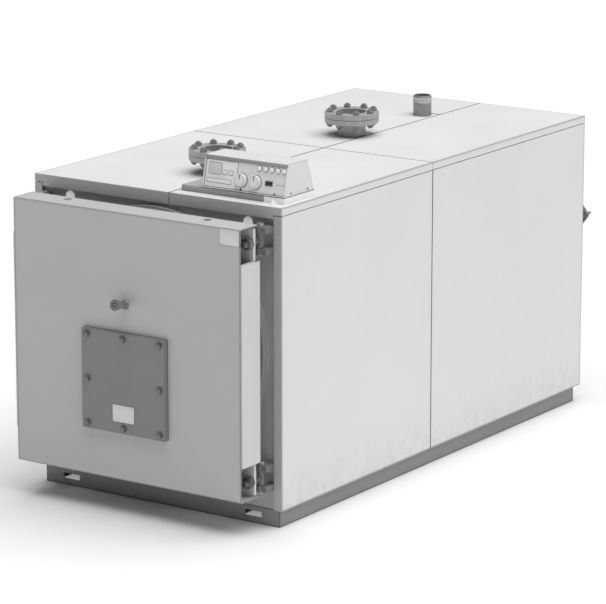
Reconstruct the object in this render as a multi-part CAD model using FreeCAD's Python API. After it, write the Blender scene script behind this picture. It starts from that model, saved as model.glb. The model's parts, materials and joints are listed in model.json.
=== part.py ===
import FreeCAD, Part
import math
import os

# Hot-water boiler with a horizontal round shell, a pressurised furnace, a sheet-metal casing
# on a base frame and a hinged front door.  Millimetres, +X right, +Y to the rear, +Z up.
# Y is first counted from the casing's front plane; every shape is then moved by ORIGIN_SHIFT,
# so that the origin is the middle of the footprint at floor level.

V = FreeCAD.Vector

# ---- driving dimensions -------------------------------------------------------------------

# casing
CASING_WIDTH = 1150
CASING_LENGTH = 2230
CASING_TOP = 1230
SHEET = 1.5
PANEL_BOTTOM = 70
COVER_FLANGE = 30
COVER_LIP = 45
PANEL_GAP = 3
RETURN_WIDTH = 35
INNER_RETURN = 20
CROSS_SEAM_Y = 1040
LONG_SEAM_X = 63
LONG_SEAM_GAP = 4

# base frame
BASE_WIDTH = 1110
BASE_HEIGHT = 70
BASE_FRONT_Y = 16
BASE_REAR_INSET = 22
FRAME_WALL = 6
FRAME_FLANGE = 40
SLOT_WIDTH = 80
SLOT_LOW_Z = 25
SLOT_HIGH_Z = 48
SLOT_FROM_CORNER = 83

# shell, furnace and smoke tubes
SHELL_RADIUS = 500
SHELL_WALL = 8
SHELL_Z = 670
SHELL_FRONT_Y = 30
SHELL_REAR_Y = 2170
RING_FRONT_Y = -10
RING_WIDTH = 22
FRONT_PLATE_WALL = 5
TUBE_PLATE_Y = 110
TUBE_PLATE_WALL = 14
REAR_TUBE_PLATE_Y = 2144
BURNER_Z = 525
FURNACE_RADIUS = 250
FURNACE_WALL = 8
FURNACE_END_Y = 1700
SMOKE_TUBE_COUNT = 12
SMOKE_TUBE_RADIUS = 44.45
SMOKE_TUBE_WALL = 3.6
SMOKE_TUBE_ARC_RADIUS = 385
SMOKE_TUBE_FIRST_ANGLE = -2
TUBE_STAND_OUT = 4
LIFTING_HOLE_RADIUS = 17.5
LIFTING_HOLE_X = 415
LIFTING_HOLE_Z = 1157
SADDLE_Y = 2100
SADDLE_WALL = 10
SADDLE_TOP_Z = 420

# smoke box and rear connections
SMOKE_BOX_HALF_WIDTH = 470
SMOKE_BOX_BOTTOM_Z = 540
SMOKE_BOX_TOP_Z = 1108
SMOKE_BOX_REAR_Y = 2370
SMOKE_BOX_WALL = 4
SMOKE_BOX_MOUTH_RADIUS = 475
BOX_COVER_WALL = 8
FLUE_RADIUS = 125
FLUE_WALL = 3
FLUE_LENGTH = 82
EAR_Z = 772
EAR_REACH_X = 520
EAR_HALF_HEIGHT = 69
EAR_TIP_RADIUS = 14
EAR_WALL = 10
EAR_STUD_X = 499
EAR_STUD_RADIUS = 7
EAR_STUD_START_Y = 2338
EAR_STUD_LENGTH = 84
EAR_NUT_FLATS = 22
EAR_NUT_HEIGHT = 11
DRAIN_RADIUS = 30
DRAIN_BORE_RADIUS = 26
DRAIN_Z = 235
DRAIN_END_Y = 2300
DRAIN_THREAD_RADIUS = 29.6
DRAIN_THREAD_LENGTH = 20

# water connections on top
PIPE_RADIUS = 57.15
PIPE_BORE_RADIUS = 53.55
PIPE_FOOT_Z = 1140
FLOW_PIPE_Y = 401
RETURN_PIPE_Y = 1336
FLANGE_RADIUS = 110
FLANGE_WALL = 20
FLANGE_GAP = 2
FLANGE_BORE_RADIUS = 58
FLANGE_TOP_Z = 1326
GASKET_MARGIN = 3
FLANGE_BOLT_COUNT = 8
FLANGE_BOLT_CIRCLE_RADIUS = 90
FLANGE_BOLT_RADIUS = 8
FLANGE_BOLT_HOLE_RADIUS = 9
FLANGE_NUT_FLATS = 24
FLANGE_NUT_HEIGHT = 13
FLANGE_BOLT_END = 5
PIPE_NOTCH_RADIUS = 72
NIPPLE_Y = 1871
NIPPLE_RADIUS = 38
NIPPLE_BORE_RADIUS = 32
NIPPLE_TOP_Z = 1313
NIPPLE_CHAMFER = 6
NIPPLE_THREAD_RADIUS = 37.6
NIPPLE_THREAD_LENGTH = 22
NIPPLE_NOTCH_RADIUS = 48

# front door
DOOR_FRONT_Y = -193
DOOR_REAR_Y = -77
DOOR_HALF_WIDTH = 526
DOOR_BOTTOM_Z = 140
DOOR_TOP_Z = 1177
DOOR_SHEET = 2
DOOR_FOLD_RADIUS = 8
DOOR_HOLE_RADIUS = 12.5
DOOR_HOLE_X = 325
DOOR_HOLE_Y = -116
DOOR_PLATE_FRONT_Y = -102
DOOR_PLATE_WALL = 12
DOOR_PLATE_HALF_WIDTH = 521
DOOR_PLATE_MARGIN = 10
REFRACTORY_RADIUS = 472
REFRACTORY_REAR_Y = -15
BURNER_PORT_RADIUS = 120
SIDE_COVER_HALF_WIDTH = 532
SIDE_COVER_RETURN = 20
HINGE_CUT_OUT = 135
BLANKING_SIZE = 388
BLANKING_WALL = 20
BLANKING_BOLT_X = 169
BLANKING_BOLT_Z = 173
BLANKING_BOLT_RADIUS = 6
BLANKING_HOLE_RADIUS = 7
BLANKING_BOLT_FLATS = 19
BLANKING_HEAD_HEIGHT = 8
BLANKING_WASHER_RADIUS = 14
BLANKING_WASHER_WALL = 2.5
SIGHT_TUBE_Z = 827
SIGHT_TUBE_RADIUS = 14.5
SIGHT_TUBE_TILT = math.radians(11)
SIGHT_TUBE_LENGTH = 58
SIGHT_CAP_RADIUS = 21.5
SIGHT_CAP_LENGTH = 10
SIGHT_HOLE_RADIUS = 5
SIGHT_HOLE_DEPTH = 6

# hinge and clamp units, one at each corner of the door
UNIT_X = 504
UNIT_Y = -34
UNIT_LEVELS = (200, 1109)
PIN_RADIUS = 9
PIN_HEAD_FLATS = 26
PIN_HEAD_HEIGHT = 12
PIN_TAIL = 6
BARREL_RADIUS = 15
BARREL_HEIGHT = 54
BARREL_BORE_RADIUS = 9.05
HUB_RADIUS = 19
HUB_HEIGHT = 24
HUB_GAP = 1
BLOCK_OUTER_X = 539
BLOCK_HALF_DEPTH = 15
STUD_RADIUS = 12
STUD_CLEARANCE = 1
STUD_END_Y = -146
NUT_FLATS = 41
NUT_HEIGHT = 24
COLLAR_RADIUS = 17
COLLAR_WALL = 8
STUD_SEAT_DEPTH = 3

# control box on the front right cover
PLINTH_LEFT_X = 80
PLINTH_RIGHT_X = 548
PLINTH_FRONT_Y = 60
PLINTH_REAR_Y = 240
PLINTH_HEIGHT = 23
CONTROL_LEFT_X = 172
CONTROL_RIGHT_X = 546
CONTROL_BOTTOM_FRONT_Y = 60
CONTROL_BOTTOM_REAR_Y = 255
CONTROL_TOP_FRONT_Y = 88
CONTROL_TOP_REAR_Y = 215
CONTROL_TOP_Z = 1375
CONTROL_CORNER_RADIUS = 8
CONTROL_RIM = 6
CONTROL_TOP_RIM = 12
FASCIA_RECESS = 4
FASCIA_WALL = 3
KNOB_XS = (345, 409)
KNOB_HEIGHT_SHARE = 0.36
KNOB_RADIUS = 25
KNOB_DEPTH = 16
KNOB_GAP = 1
KNOB_CHAMFER = 2
SPINDLE_RADIUS = 4
SPINDLE_HOLE_RADIUS = 4.05

# ---- derived values -----------------------------------------------------------------------

HALF_WIDTH = CASING_WIDTH / 2
HALF_BASE = BASE_WIDTH / 2
BASE_REAR_Y = CASING_LENGTH - BASE_REAR_INSET
PANEL_TOP = CASING_TOP - COVER_FLANGE - PANEL_GAP
SIGHT_REACH = (SIGHT_TUBE_LENGTH + SIGHT_CAP_LENGTH) * math.cos(SIGHT_TUBE_TILT)
FRONT_END_Y = DOOR_FRONT_Y - SIGHT_REACH - SIGHT_CAP_RADIUS * math.sin(SIGHT_TUBE_TILT)
BOX_COVER_REAR_Y = SMOKE_BOX_REAR_Y + BOX_COVER_WALL
REAR_END_Y = BOX_COVER_REAR_Y + FLUE_LENGTH
ORIGIN_SHIFT = V(0, -(FRONT_END_Y + REAR_END_Y) / 2, 0)
SMOKE_BOX_Z = (SMOKE_BOX_BOTTOM_Z + SMOKE_BOX_TOP_Z) / 2
CONTROL_BOTTOM_Z = CASING_TOP + PLINTH_HEIGHT
DOOR_PLATE_REAR_Y = DOOR_PLATE_FRONT_Y + DOOR_PLATE_WALL
PIN_CLAMP_HALF = BARREL_HEIGHT / 2 + HUB_GAP + HUB_HEIGHT

ALONG_Y = V(0, 1, 0)
ALONG_Z = V(0, 0, 1)


# ---- shape helpers ------------------------------------------------------------------------

def block(x_range, y_range, z_range):
    """A box from its low and high limits, given in either order."""
    low = V(min(x_range), min(y_range), min(z_range))
    high = V(max(x_range), max(y_range), max(z_range))
    size = high - low
    return Part.makeBox(size.x, size.y, size.z, low)


def rod(radius, start, direction, length):
    """A solid cylinder."""
    return Part.makeCylinder(radius, length, start, direction)


def tube(outer, inner, start, direction, length):
    """A hollow cylinder."""
    return rod(outer, start, direction, length).cut(rod(inner, start, direction, length))


def hexagon(across_flats, start, direction, length):
    """A six-sided prism with its axis through start."""
    corner_radius = across_flats / math.sqrt(3)
    turns = [math.radians(60 * step) for step in range(7)]
    corners = [V(corner_radius * math.cos(t), corner_radius * math.sin(t), 0) for t in turns]
    prism = Part.Face(Part.makePolygon(corners)).extrude(V(0, 0, length))
    prism.Placement = FreeCAD.Placement(start, FreeCAD.Rotation(ALONG_Z, direction))
    return prism


def prism_along_x(outline, x_range):
    """Extrude an outline of (y, z) points between two X limits."""
    low, high = min(x_range), max(x_range)
    points = [V(low, y, z) for y, z in outline]
    face = Part.Face(Part.makePolygon(points + points[:1]))
    return face.extrude(V(high - low, 0, 0))


def joined(shapes):
    """Fuse shapes into one solid without seam edges."""
    return shapes[0].multiFuse(shapes[1:]).removeSplitter()


def group(shapes):
    """Keep shapes that don't touch together in one node."""
    return Part.makeCompound(shapes)


def clear_of_bottom_folds(plate, y_range):
    """Notch a cross plate's lower corners, where the side panels' bottom folds pass."""
    for side in (-1, 1):
        x_range = (side * HALF_BASE, side * (HALF_WIDTH - RETURN_WIDTH))
        plate = plate.cut(block(x_range, y_range, (PANEL_BOTTOM, PANEL_BOTTOM + SHEET)))
    return plate


# ---- base frame ---------------------------------------------------------------------------

def side_beam(side):
    """A channel whose web faces outwards."""
    y_range = (BASE_FRONT_Y + FRAME_WALL, BASE_REAR_Y - FRAME_WALL)
    flange_x = (side * (HALF_BASE - FRAME_FLANGE), side * HALF_BASE)
    web = block((side * (HALF_BASE - FRAME_WALL), side * HALF_BASE), y_range, (0, BASE_HEIGHT))
    foot = block(flange_x, y_range, (0, FRAME_WALL))
    head = block(flange_x, y_range, (BASE_HEIGHT - FRAME_WALL, BASE_HEIGHT))
    return joined([web, foot, head])


def cross_beam(web_y, inner_y, flange_y):
    """A channel across the frame with a lifting slot near each end of its web."""
    inside = HALF_BASE - FRAME_FLANGE
    web = block((-HALF_BASE, HALF_BASE), (web_y, inner_y), (0, BASE_HEIGHT))
    for side in (-1, 1):
        outer_x = side * (HALF_BASE - SLOT_FROM_CORNER)
        inner_x = side * (HALF_BASE - SLOT_FROM_CORNER - SLOT_WIDTH)
        web = web.cut(block((outer_x, inner_x), (web_y, inner_y), (SLOT_LOW_Z, SLOT_HIGH_Z)))
    foot = block((-inside, inside), (inner_y, flange_y), (0, FRAME_WALL))
    head = block((-inside, inside), (inner_y, flange_y), (BASE_HEIGHT - FRAME_WALL, BASE_HEIGHT))
    return joined([web, foot, head])


def base_front_beam():
    inner = BASE_FRONT_Y + FRAME_WALL
    return cross_beam(BASE_FRONT_Y, inner, BASE_FRONT_Y + FRAME_FLANGE)


def base_rear_beam():
    inner = BASE_REAR_Y - FRAME_WALL
    return cross_beam(BASE_REAR_Y, inner, BASE_REAR_Y - FRAME_FLANGE)


def rear_saddle():
    """The plate that carries the shell's rear end on the side beams."""
    y_range = (SADDLE_Y, SADDLE_Y + SADDLE_WALL)
    plate = block((-HALF_BASE, HALF_BASE), y_range, (BASE_HEIGHT, SADDLE_TOP_Z))
    seat = rod(SHELL_RADIUS, V(0, SADDLE_Y, SHELL_Z), ALONG_Y, SADDLE_WALL)
    return clear_of_bottom_folds(plate.cut(seat), y_range)


# ---- boiler body --------------------------------------------------------------------------

def front_plate():
    """The plate behind the door, open round the shell's mouth and drilled for lifting."""
    y_range = (BASE_FRONT_Y, BASE_FRONT_Y + FRONT_PLATE_WALL)
    plate = block((-HALF_BASE, HALF_BASE), y_range, (BASE_HEIGHT, PANEL_TOP - SHEET))
    plate = plate.cut(rod(SHELL_RADIUS, V(0, BASE_FRONT_Y, SHELL_Z), ALONG_Y, FRONT_PLATE_WALL))
    for side in (-1, 1):
        hole_start = V(side * LIFTING_HOLE_X, BASE_FRONT_Y, LIFTING_HOLE_Z)
        plate = plate.cut(rod(LIFTING_HOLE_RADIUS, hole_start, ALONG_Y, FRONT_PLATE_WALL))
    return clear_of_bottom_folds(plate, y_range)


def sealing_ring():
    """The ring on the shell's front end that the door's lining closes against."""
    start = V(0, RING_FRONT_Y, SHELL_Z)
    return tube(SHELL_RADIUS, SHELL_RADIUS - RING_WIDTH, start, ALONG_Y, SHELL_FRONT_Y - RING_FRONT_Y)


def boiler_shell():
    """The shell, cut through under each connection on its top."""
    start = V(0, SHELL_FRONT_Y, SHELL_Z)
    shell = tube(SHELL_RADIUS, SHELL_RADIUS - SHELL_WALL, start, ALONG_Y, SHELL_REAR_Y - SHELL_FRONT_Y)
    for radius, y in ((PIPE_RADIUS, FLOW_PIPE_Y), (PIPE_RADIUS, RETURN_PIPE_Y), (NIPPLE_RADIUS, NIPPLE_Y)):
        shell = shell.cut(rod(radius, V(0, y, SHELL_Z), ALONG_Z, SHELL_RADIUS + SHELL_WALL))
    return shell


def smoke_tube_centres():
    """X and Z of each smoke tube, on an arch over the furnace."""
    span = 180 - 2 * SMOKE_TUBE_FIRST_ANGLE
    centres = []
    for index in range(SMOKE_TUBE_COUNT):
        angle = math.radians(SMOKE_TUBE_FIRST_ANGLE + span * index / (SMOKE_TUBE_COUNT - 1))
        x = SMOKE_TUBE_ARC_RADIUS * math.cos(angle)
        z = SHELL_Z + SMOKE_TUBE_ARC_RADIUS * math.sin(angle)
        centres.append((x, z))
    return centres


def tube_plate(front_y):
    """A disc inside the shell with the smoke tubes' holes."""
    plate = rod(SHELL_RADIUS - SHELL_WALL, V(0, front_y, SHELL_Z), ALONG_Y, TUBE_PLATE_WALL)
    for x, z in smoke_tube_centres():
        plate = plate.cut(rod(SMOKE_TUBE_RADIUS, V(x, front_y, z), ALONG_Y, TUBE_PLATE_WALL))
    return plate


def front_tube_plate():
    furnace_hole = rod(FURNACE_RADIUS, V(0, TUBE_PLATE_Y, BURNER_Z), ALONG_Y, TUBE_PLATE_WALL)
    return tube_plate(TUBE_PLATE_Y).cut(furnace_hole)


def rear_tube_plate():
    return tube_plate(REAR_TUBE_PLATE_Y)


def furnace_tube():
    """The furnace, open at the front and closed at its rear end."""
    start = V(0, TUBE_PLATE_Y - TUBE_STAND_OUT, BURNER_Z)
    length = FURNACE_END_Y - start.y
    outside = rod(FURNACE_RADIUS, start, ALONG_Y, length)
    return outside.cut(rod(FURNACE_RADIUS - FURNACE_WALL, start, ALONG_Y, length - FURNACE_WALL))


def smoke_tubes():
    front = TUBE_PLATE_Y - TUBE_STAND_OUT
    length = REAR_TUBE_PLATE_Y + TUBE_PLATE_WALL + TUBE_STAND_OUT - front
    inner = SMOKE_TUBE_RADIUS - SMOKE_TUBE_WALL
    return group([tube(SMOKE_TUBE_RADIUS, inner, V(x, front, z), ALONG_Y, length)
                  for x, z in smoke_tube_centres()])


# ---- casing -------------------------------------------------------------------------------

def side_panel(side, y_range, front_return, rear_return):
    """A folded sheet on one flank; its bottom fold stands on the side beam."""
    front, rear = y_range
    z_range = (PANEL_BOTTOM, PANEL_TOP)
    outer, inner = side * HALF_WIDTH, side * (HALF_WIDTH - SHEET)
    folds = [
        block((outer, inner), y_range, z_range),
        block((outer, outer - side * front_return), (front, front + SHEET), z_range),
        block((outer, outer - side * rear_return), (rear - SHEET, rear), z_range),
        block((outer, outer - side * RETURN_WIDTH), y_range, (PANEL_BOTTOM, PANEL_BOTTOM + SHEET)),
        block((outer, outer - side * INNER_RETURN), y_range, (PANEL_TOP - SHEET, PANEL_TOP)),
    ]
    return joined(folds)


def front_side_panel(side):
    return side_panel(side, (0, CROSS_SEAM_Y - PANEL_GAP / 2), RETURN_WIDTH, INNER_RETURN)


def rear_side_panel(side):
    return side_panel(side, (CROSS_SEAM_Y + PANEL_GAP / 2, CASING_LENGTH), INNER_RETURN, RETURN_WIDTH)


def end_lip(side, seam_x, y_range):
    """The lip at an open end of a cover, shallower above the side panel's fold."""
    notch_x = side * (HALF_WIDTH - RETURN_WIDTH - PANEL_GAP)
    deep = block((seam_x, notch_x), y_range, (CASING_TOP - COVER_LIP, CASING_TOP))
    shallow = block((notch_x, side * HALF_WIDTH), y_range, (CASING_TOP - COVER_FLANGE, CASING_TOP))
    return [deep, shallow]


def top_cover(side, y_range, lip_at_front):
    """A folded cover from the long seam to the flank, with its lip at one end."""
    front, rear = y_range
    seam_x = LONG_SEAM_X + side * LONG_SEAM_GAP / 2
    outer = side * HALF_WIDTH
    inner_z = (CASING_TOP - INNER_RETURN, CASING_TOP)
    front_strip, rear_strip = (front, front + SHEET), (rear - SHEET, rear)
    lip_strip, plain_strip = (front_strip, rear_strip) if lip_at_front else (rear_strip, front_strip)
    folds = [
        block((seam_x, outer), y_range, (CASING_TOP - SHEET, CASING_TOP)),
        block((outer, outer - side * SHEET), y_range, (CASING_TOP - COVER_FLANGE, CASING_TOP)),
        block((seam_x, seam_x + side * SHEET), y_range, inner_z),
        block((seam_x, outer), plain_strip, inner_z),
    ]
    return joined(folds + end_lip(side, seam_x, lip_strip))


def notched(cover, connections):
    """Cut a round-ended notch, open to the long seam, round each connection."""
    depth = (CASING_TOP - COVER_LIP, CASING_TOP)
    for radius, y in connections:
        cover = cover.cut(rod(radius, V(0, y, depth[0]), ALONG_Z, COVER_LIP))
        cover = cover.cut(block((0, LONG_SEAM_X), (y - radius, y + radius), depth))
    return cover


def front_left_cover():
    cover = top_cover(-1, (0, CROSS_SEAM_Y - PANEL_GAP / 2), True)
    return notched(cover, [(PIPE_NOTCH_RADIUS, FLOW_PIPE_Y)])


def rear_left_cover():
    cover = top_cover(-1, (CROSS_SEAM_Y + PANEL_GAP / 2, CASING_LENGTH), False)
    return notched(cover, [(PIPE_NOTCH_RADIUS, RETURN_PIPE_Y), (NIPPLE_NOTCH_RADIUS, NIPPLE_Y)])


def front_right_cover():
    return top_cover(1, (0, CROSS_SEAM_Y - PANEL_GAP / 2), True)


def rear_right_cover():
    return top_cover(1, (CROSS_SEAM_Y + PANEL_GAP / 2, CASING_LENGTH), False)


def rear_panel():
    """The sheet between the rear folds, open round the smoke box and the drain."""
    y_range = (CASING_LENGTH - 2 * SHEET, CASING_LENGTH - SHEET)
    half = HALF_WIDTH - SHEET
    panel = block((-half, half), y_range, (PANEL_BOTTOM + SHEET, PANEL_TOP - SHEET))
    box_half = SMOKE_BOX_HALF_WIDTH + PANEL_GAP
    box_z = (SMOKE_BOX_BOTTOM_Z - PANEL_GAP, SMOKE_BOX_TOP_Z + PANEL_GAP)
    panel = panel.cut(block((-box_half, box_half), y_range, box_z))
    drain_hole = rod(DRAIN_RADIUS + PANEL_GAP, V(0, y_range[0], DRAIN_Z), ALONG_Y, SHEET)
    return panel.cut(drain_hole)


# ---- smoke box and rear connections -------------------------------------------------------

def ear(side, y_start, wall):
    """A triangular ear with a rounded tip, bored for a stud."""
    tip = V(side * (EAR_REACH_X - EAR_TIP_RADIUS), y_start, EAR_Z)
    root_x = side * SMOKE_BOX_HALF_WIDTH
    lean = math.atan2(EAR_REACH_X - EAR_TIP_RADIUS - SMOKE_BOX_HALF_WIDTH, EAR_HALF_HEIGHT - EAR_TIP_RADIUS)
    tangent_x = tip.x + side * EAR_TIP_RADIUS * math.cos(lean)
    tangent_z = EAR_TIP_RADIUS * math.sin(lean)
    outline = [(root_x, -EAR_HALF_HEIGHT), (tangent_x, -tangent_z),
               (tangent_x, tangent_z), (root_x, EAR_HALF_HEIGHT)]
    points = [V(x, y_start, EAR_Z + z) for x, z in outline]
    triangle = Part.Face(Part.makePolygon(points + points[:1])).extrude(V(0, wall, 0))
    return triangle.fuse(rod(EAR_TIP_RADIUS, tip, ALONG_Y, wall))


def ear_stud_hole(side, y_start, wall):
    return rod(EAR_STUD_RADIUS, V(side * EAR_STUD_X, y_start, EAR_Z), ALONG_Y, wall)


def smoke_box():
    """A box open to the smoke tubes at the front and closed by its cover at the rear."""
    outside = block((-SMOKE_BOX_HALF_WIDTH, SMOKE_BOX_HALF_WIDTH), (SHELL_REAR_Y, SMOKE_BOX_REAR_Y),
                    (SMOKE_BOX_BOTTOM_Z, SMOKE_BOX_TOP_Z))
    half = SMOKE_BOX_HALF_WIDTH - SMOKE_BOX_WALL
    inside = block((-half, half), (SHELL_REAR_Y + SMOKE_BOX_WALL, SMOKE_BOX_REAR_Y),
                   (SMOKE_BOX_BOTTOM_Z + SMOKE_BOX_WALL, SMOKE_BOX_TOP_Z - SMOKE_BOX_WALL))
    mouth_start = V(0, SHELL_REAR_Y, SHELL_Z)
    mouth = rod(SMOKE_BOX_MOUTH_RADIUS, mouth_start, ALONG_Y, SMOKE_BOX_WALL).common(
        block((-half, half), (SHELL_REAR_Y, SHELL_REAR_Y + SMOKE_BOX_WALL),
              (SMOKE_BOX_BOTTOM_Z + SMOKE_BOX_WALL, SMOKE_BOX_TOP_Z - SMOKE_BOX_WALL)))
    ear_y = SMOKE_BOX_REAR_Y - EAR_WALL
    ears = [ear(side, ear_y, EAR_WALL).cut(ear_stud_hole(side, ear_y, EAR_WALL)) for side in (-1, 1)]
    return joined([outside.cut(inside).cut(mouth)] + ears)


def smoke_box_cover():
    """The bolted rear cover with the flue opening and an ear at each side."""
    y_range = (SMOKE_BOX_REAR_Y, BOX_COVER_REAR_Y)
    plate = block((-SMOKE_BOX_HALF_WIDTH, SMOKE_BOX_HALF_WIDTH), y_range,
                  (SMOKE_BOX_BOTTOM_Z, SMOKE_BOX_TOP_Z))
    ears = [ear(side, SMOKE_BOX_REAR_Y, BOX_COVER_WALL) for side in (-1, 1)]
    cover = joined([plate] + ears)
    for side in (-1, 1):
        cover = cover.cut(ear_stud_hole(side, SMOKE_BOX_REAR_Y, BOX_COVER_WALL))
    opening_start = V(0, SMOKE_BOX_REAR_Y, SMOKE_BOX_Z)
    return cover.cut(rod(FLUE_RADIUS - FLUE_WALL, opening_start, ALONG_Y, BOX_COVER_WALL))


def box_cover_studs():
    """A stud through each pair of ears, with its nut behind the cover."""
    studs = []
    for side in (-1, 1):
        x = side * EAR_STUD_X
        shank = rod(EAR_STUD_RADIUS, V(x, EAR_STUD_START_Y, EAR_Z), ALONG_Y, EAR_STUD_LENGTH)
        nut = hexagon(EAR_NUT_FLATS, V(x, BOX_COVER_REAR_Y, EAR_Z), ALONG_Y, EAR_NUT_HEIGHT)
        head_y = SMOKE_BOX_REAR_Y - EAR_WALL - EAR_NUT_HEIGHT
        head = hexagon(EAR_NUT_FLATS, V(x, head_y, EAR_Z), ALONG_Y, EAR_NUT_HEIGHT)
        studs.append(joined([shank, nut, head]))
    return group(studs)


def flue_collar():
    start = V(0, BOX_COVER_REAR_Y, SMOKE_BOX_Z)
    return tube(FLUE_RADIUS, FLUE_RADIUS - FLUE_WALL, start, ALONG_Y, FLUE_LENGTH)


def drain_nipple():
    """A stub from the shell's rear end, closed inside by a blind end."""
    thread_y = DRAIN_END_Y - DRAIN_THREAD_LENGTH
    stub = rod(DRAIN_RADIUS, V(0, SHELL_REAR_Y, DRAIN_Z), ALONG_Y, thread_y - SHELL_REAR_Y)
    stub = stub.fuse(rod(DRAIN_THREAD_RADIUS, V(0, thread_y, DRAIN_Z), ALONG_Y, DRAIN_THREAD_LENGTH))
    bore_start = V(0, CASING_LENGTH, DRAIN_Z)
    return stub.cut(rod(DRAIN_BORE_RADIUS, bore_start, ALONG_Y, DRAIN_END_Y - CASING_LENGTH))


def rear_shell_end():
    """The plate that closes the water space behind the rear tube plate, below the smoke box."""
    start = V(0, REAR_TUBE_PLATE_Y + TUBE_PLATE_WALL, SHELL_Z)
    wall = SHELL_REAR_Y - start.y
    disc = rod(SHELL_RADIUS - SHELL_WALL, start, ALONG_Y, wall)
    above = block((-SHELL_RADIUS, SHELL_RADIUS), (start.y, SHELL_REAR_Y),
                  (SMOKE_BOX_BOTTOM_Z, SHELL_Z + SHELL_RADIUS))
    return disc.cut(above)


# ---- water connections --------------------------------------------------------------------

def flange_bolt_centres(y):
    """X and Y of each flange bolt."""
    turns = [2 * math.pi * index / FLANGE_BOLT_COUNT for index in range(FLANGE_BOLT_COUNT)]
    return [(FLANGE_BOLT_CIRCLE_RADIUS * math.cos(t), y + FLANGE_BOLT_CIRCLE_RADIUS * math.sin(t))
            for t in turns]


def drilled(flange, y, bottom_z):
    """Drill a flange for its bolts."""
    for bolt_x, bolt_y in flange_bolt_centres(y):
        flange = flange.cut(rod(FLANGE_BOLT_HOLE_RADIUS, V(bolt_x, bolt_y, bottom_z), ALONG_Z, FLANGE_WALL))
    return flange


def water_connection(y):
    """A pipe welded into the shell with its flange on top."""
    lower_top = FLANGE_TOP_Z - FLANGE_WALL - FLANGE_GAP
    pipe = rod(PIPE_RADIUS, V(0, y, PIPE_FOOT_Z), ALONG_Z, lower_top - PIPE_FOOT_Z)
    flange = rod(FLANGE_RADIUS, V(0, y, lower_top - FLANGE_WALL), ALONG_Z, FLANGE_WALL)
    flange = drilled(flange, y, lower_top - FLANGE_WALL)
    bore = rod(PIPE_BORE_RADIUS, V(0, y, PIPE_FOOT_Z), ALONG_Z, lower_top - PIPE_FOOT_Z)
    return pipe.fuse(flange).cut(bore)


def counter_flange(y):
    """The loose flange that the system pipe is welded into."""
    start = V(0, y, FLANGE_TOP_Z - FLANGE_WALL)
    return drilled(tube(FLANGE_RADIUS, FLANGE_BORE_RADIUS, start, ALONG_Z, FLANGE_WALL), y, start.z)


def flange_gasket(y):
    """The sheet ring between two flanges, inside their bolts."""
    start = V(0, y, FLANGE_TOP_Z - FLANGE_WALL - FLANGE_GAP)
    outer = FLANGE_BOLT_CIRCLE_RADIUS - FLANGE_BOLT_RADIUS - GASKET_MARGIN / 2
    return tube(outer, FLANGE_BORE_RADIUS + GASKET_MARGIN, start, ALONG_Z, FLANGE_GAP)


def flange_bolts(y):
    """Studs with a nut above and below the pair of flanges."""
    lower_z = FLANGE_TOP_Z - 2 * FLANGE_WALL - FLANGE_GAP
    reach = FLANGE_NUT_HEIGHT + FLANGE_BOLT_END
    bolts = []
    for bolt_x, bolt_y in flange_bolt_centres(y):
        foot = V(bolt_x, bolt_y, lower_z)
        shank = rod(FLANGE_BOLT_RADIUS, foot - ALONG_Z * reach, ALONG_Z, FLANGE_TOP_Z - lower_z + 2 * reach)
        lower = hexagon(FLANGE_NUT_FLATS, foot - ALONG_Z * FLANGE_NUT_HEIGHT, ALONG_Z, FLANGE_NUT_HEIGHT)
        upper = hexagon(FLANGE_NUT_FLATS, V(bolt_x, bolt_y, FLANGE_TOP_Z), ALONG_Z, FLANGE_NUT_HEIGHT)
        bolts.append(joined([shank, lower, upper]))
    return group(bolts)


def safety_nipple():
    """The pipe for the safety line, with a threaded band and a chamfered mouth."""
    start = V(0, NIPPLE_Y, PIPE_FOOT_Z)
    mouth_z = NIPPLE_TOP_Z - NIPPLE_CHAMFER
    thread_z = mouth_z - NIPPLE_THREAD_LENGTH
    body = rod(NIPPLE_RADIUS, start, ALONG_Z, thread_z - PIPE_FOOT_Z)
    thread = rod(NIPPLE_THREAD_RADIUS, V(0, NIPPLE_Y, thread_z), ALONG_Z, NIPPLE_THREAD_LENGTH)
    mouth = Part.makeCone(NIPPLE_THREAD_RADIUS, NIPPLE_THREAD_RADIUS - NIPPLE_CHAMFER / 2, NIPPLE_CHAMFER,
                          V(0, NIPPLE_Y, mouth_z), ALONG_Z)
    bore = rod(NIPPLE_BORE_RADIUS, start, ALONG_Z, NIPPLE_TOP_Z - PIPE_FOOT_Z)
    return body.multiFuse([thread, mouth]).cut(bore)


# ---- control box --------------------------------------------------------------------------

def control_plinth():
    """The tray under the control box."""
    return block((PLINTH_LEFT_X, PLINTH_RIGHT_X), (PLINTH_FRONT_Y, PLINTH_REAR_Y),
                 (CASING_TOP, CONTROL_BOTTOM_Z))


def fascia_frame():
    """Origin, upward direction, outward normal and height of the leaning control face."""
    rise = V(0, CONTROL_TOP_FRONT_Y - CONTROL_BOTTOM_FRONT_Y, CONTROL_TOP_Z - CONTROL_BOTTOM_Z)
    up = V(rise).normalize()
    normal = V(0, -up.z, up.y)
    return V(0, CONTROL_BOTTOM_FRONT_Y, CONTROL_BOTTOM_Z), up, normal, rise.Length


def fascia_pocket():
    """The shallow space that the fascia fills, as a solid."""
    foot, up, normal, height = fascia_frame()
    low = foot + up * CONTROL_RIM
    high = foot + up * (height - CONTROL_TOP_RIM)
    back = normal * -(FASCIA_RECESS + FASCIA_WALL)
    corners = [low + normal, high + normal, high + back, low + back]
    outline = [(corner.y, corner.z) for corner in corners]
    return prism_along_x(outline, (CONTROL_LEFT_X + CONTROL_RIM, CONTROL_RIGHT_X - CONTROL_RIM))


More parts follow.
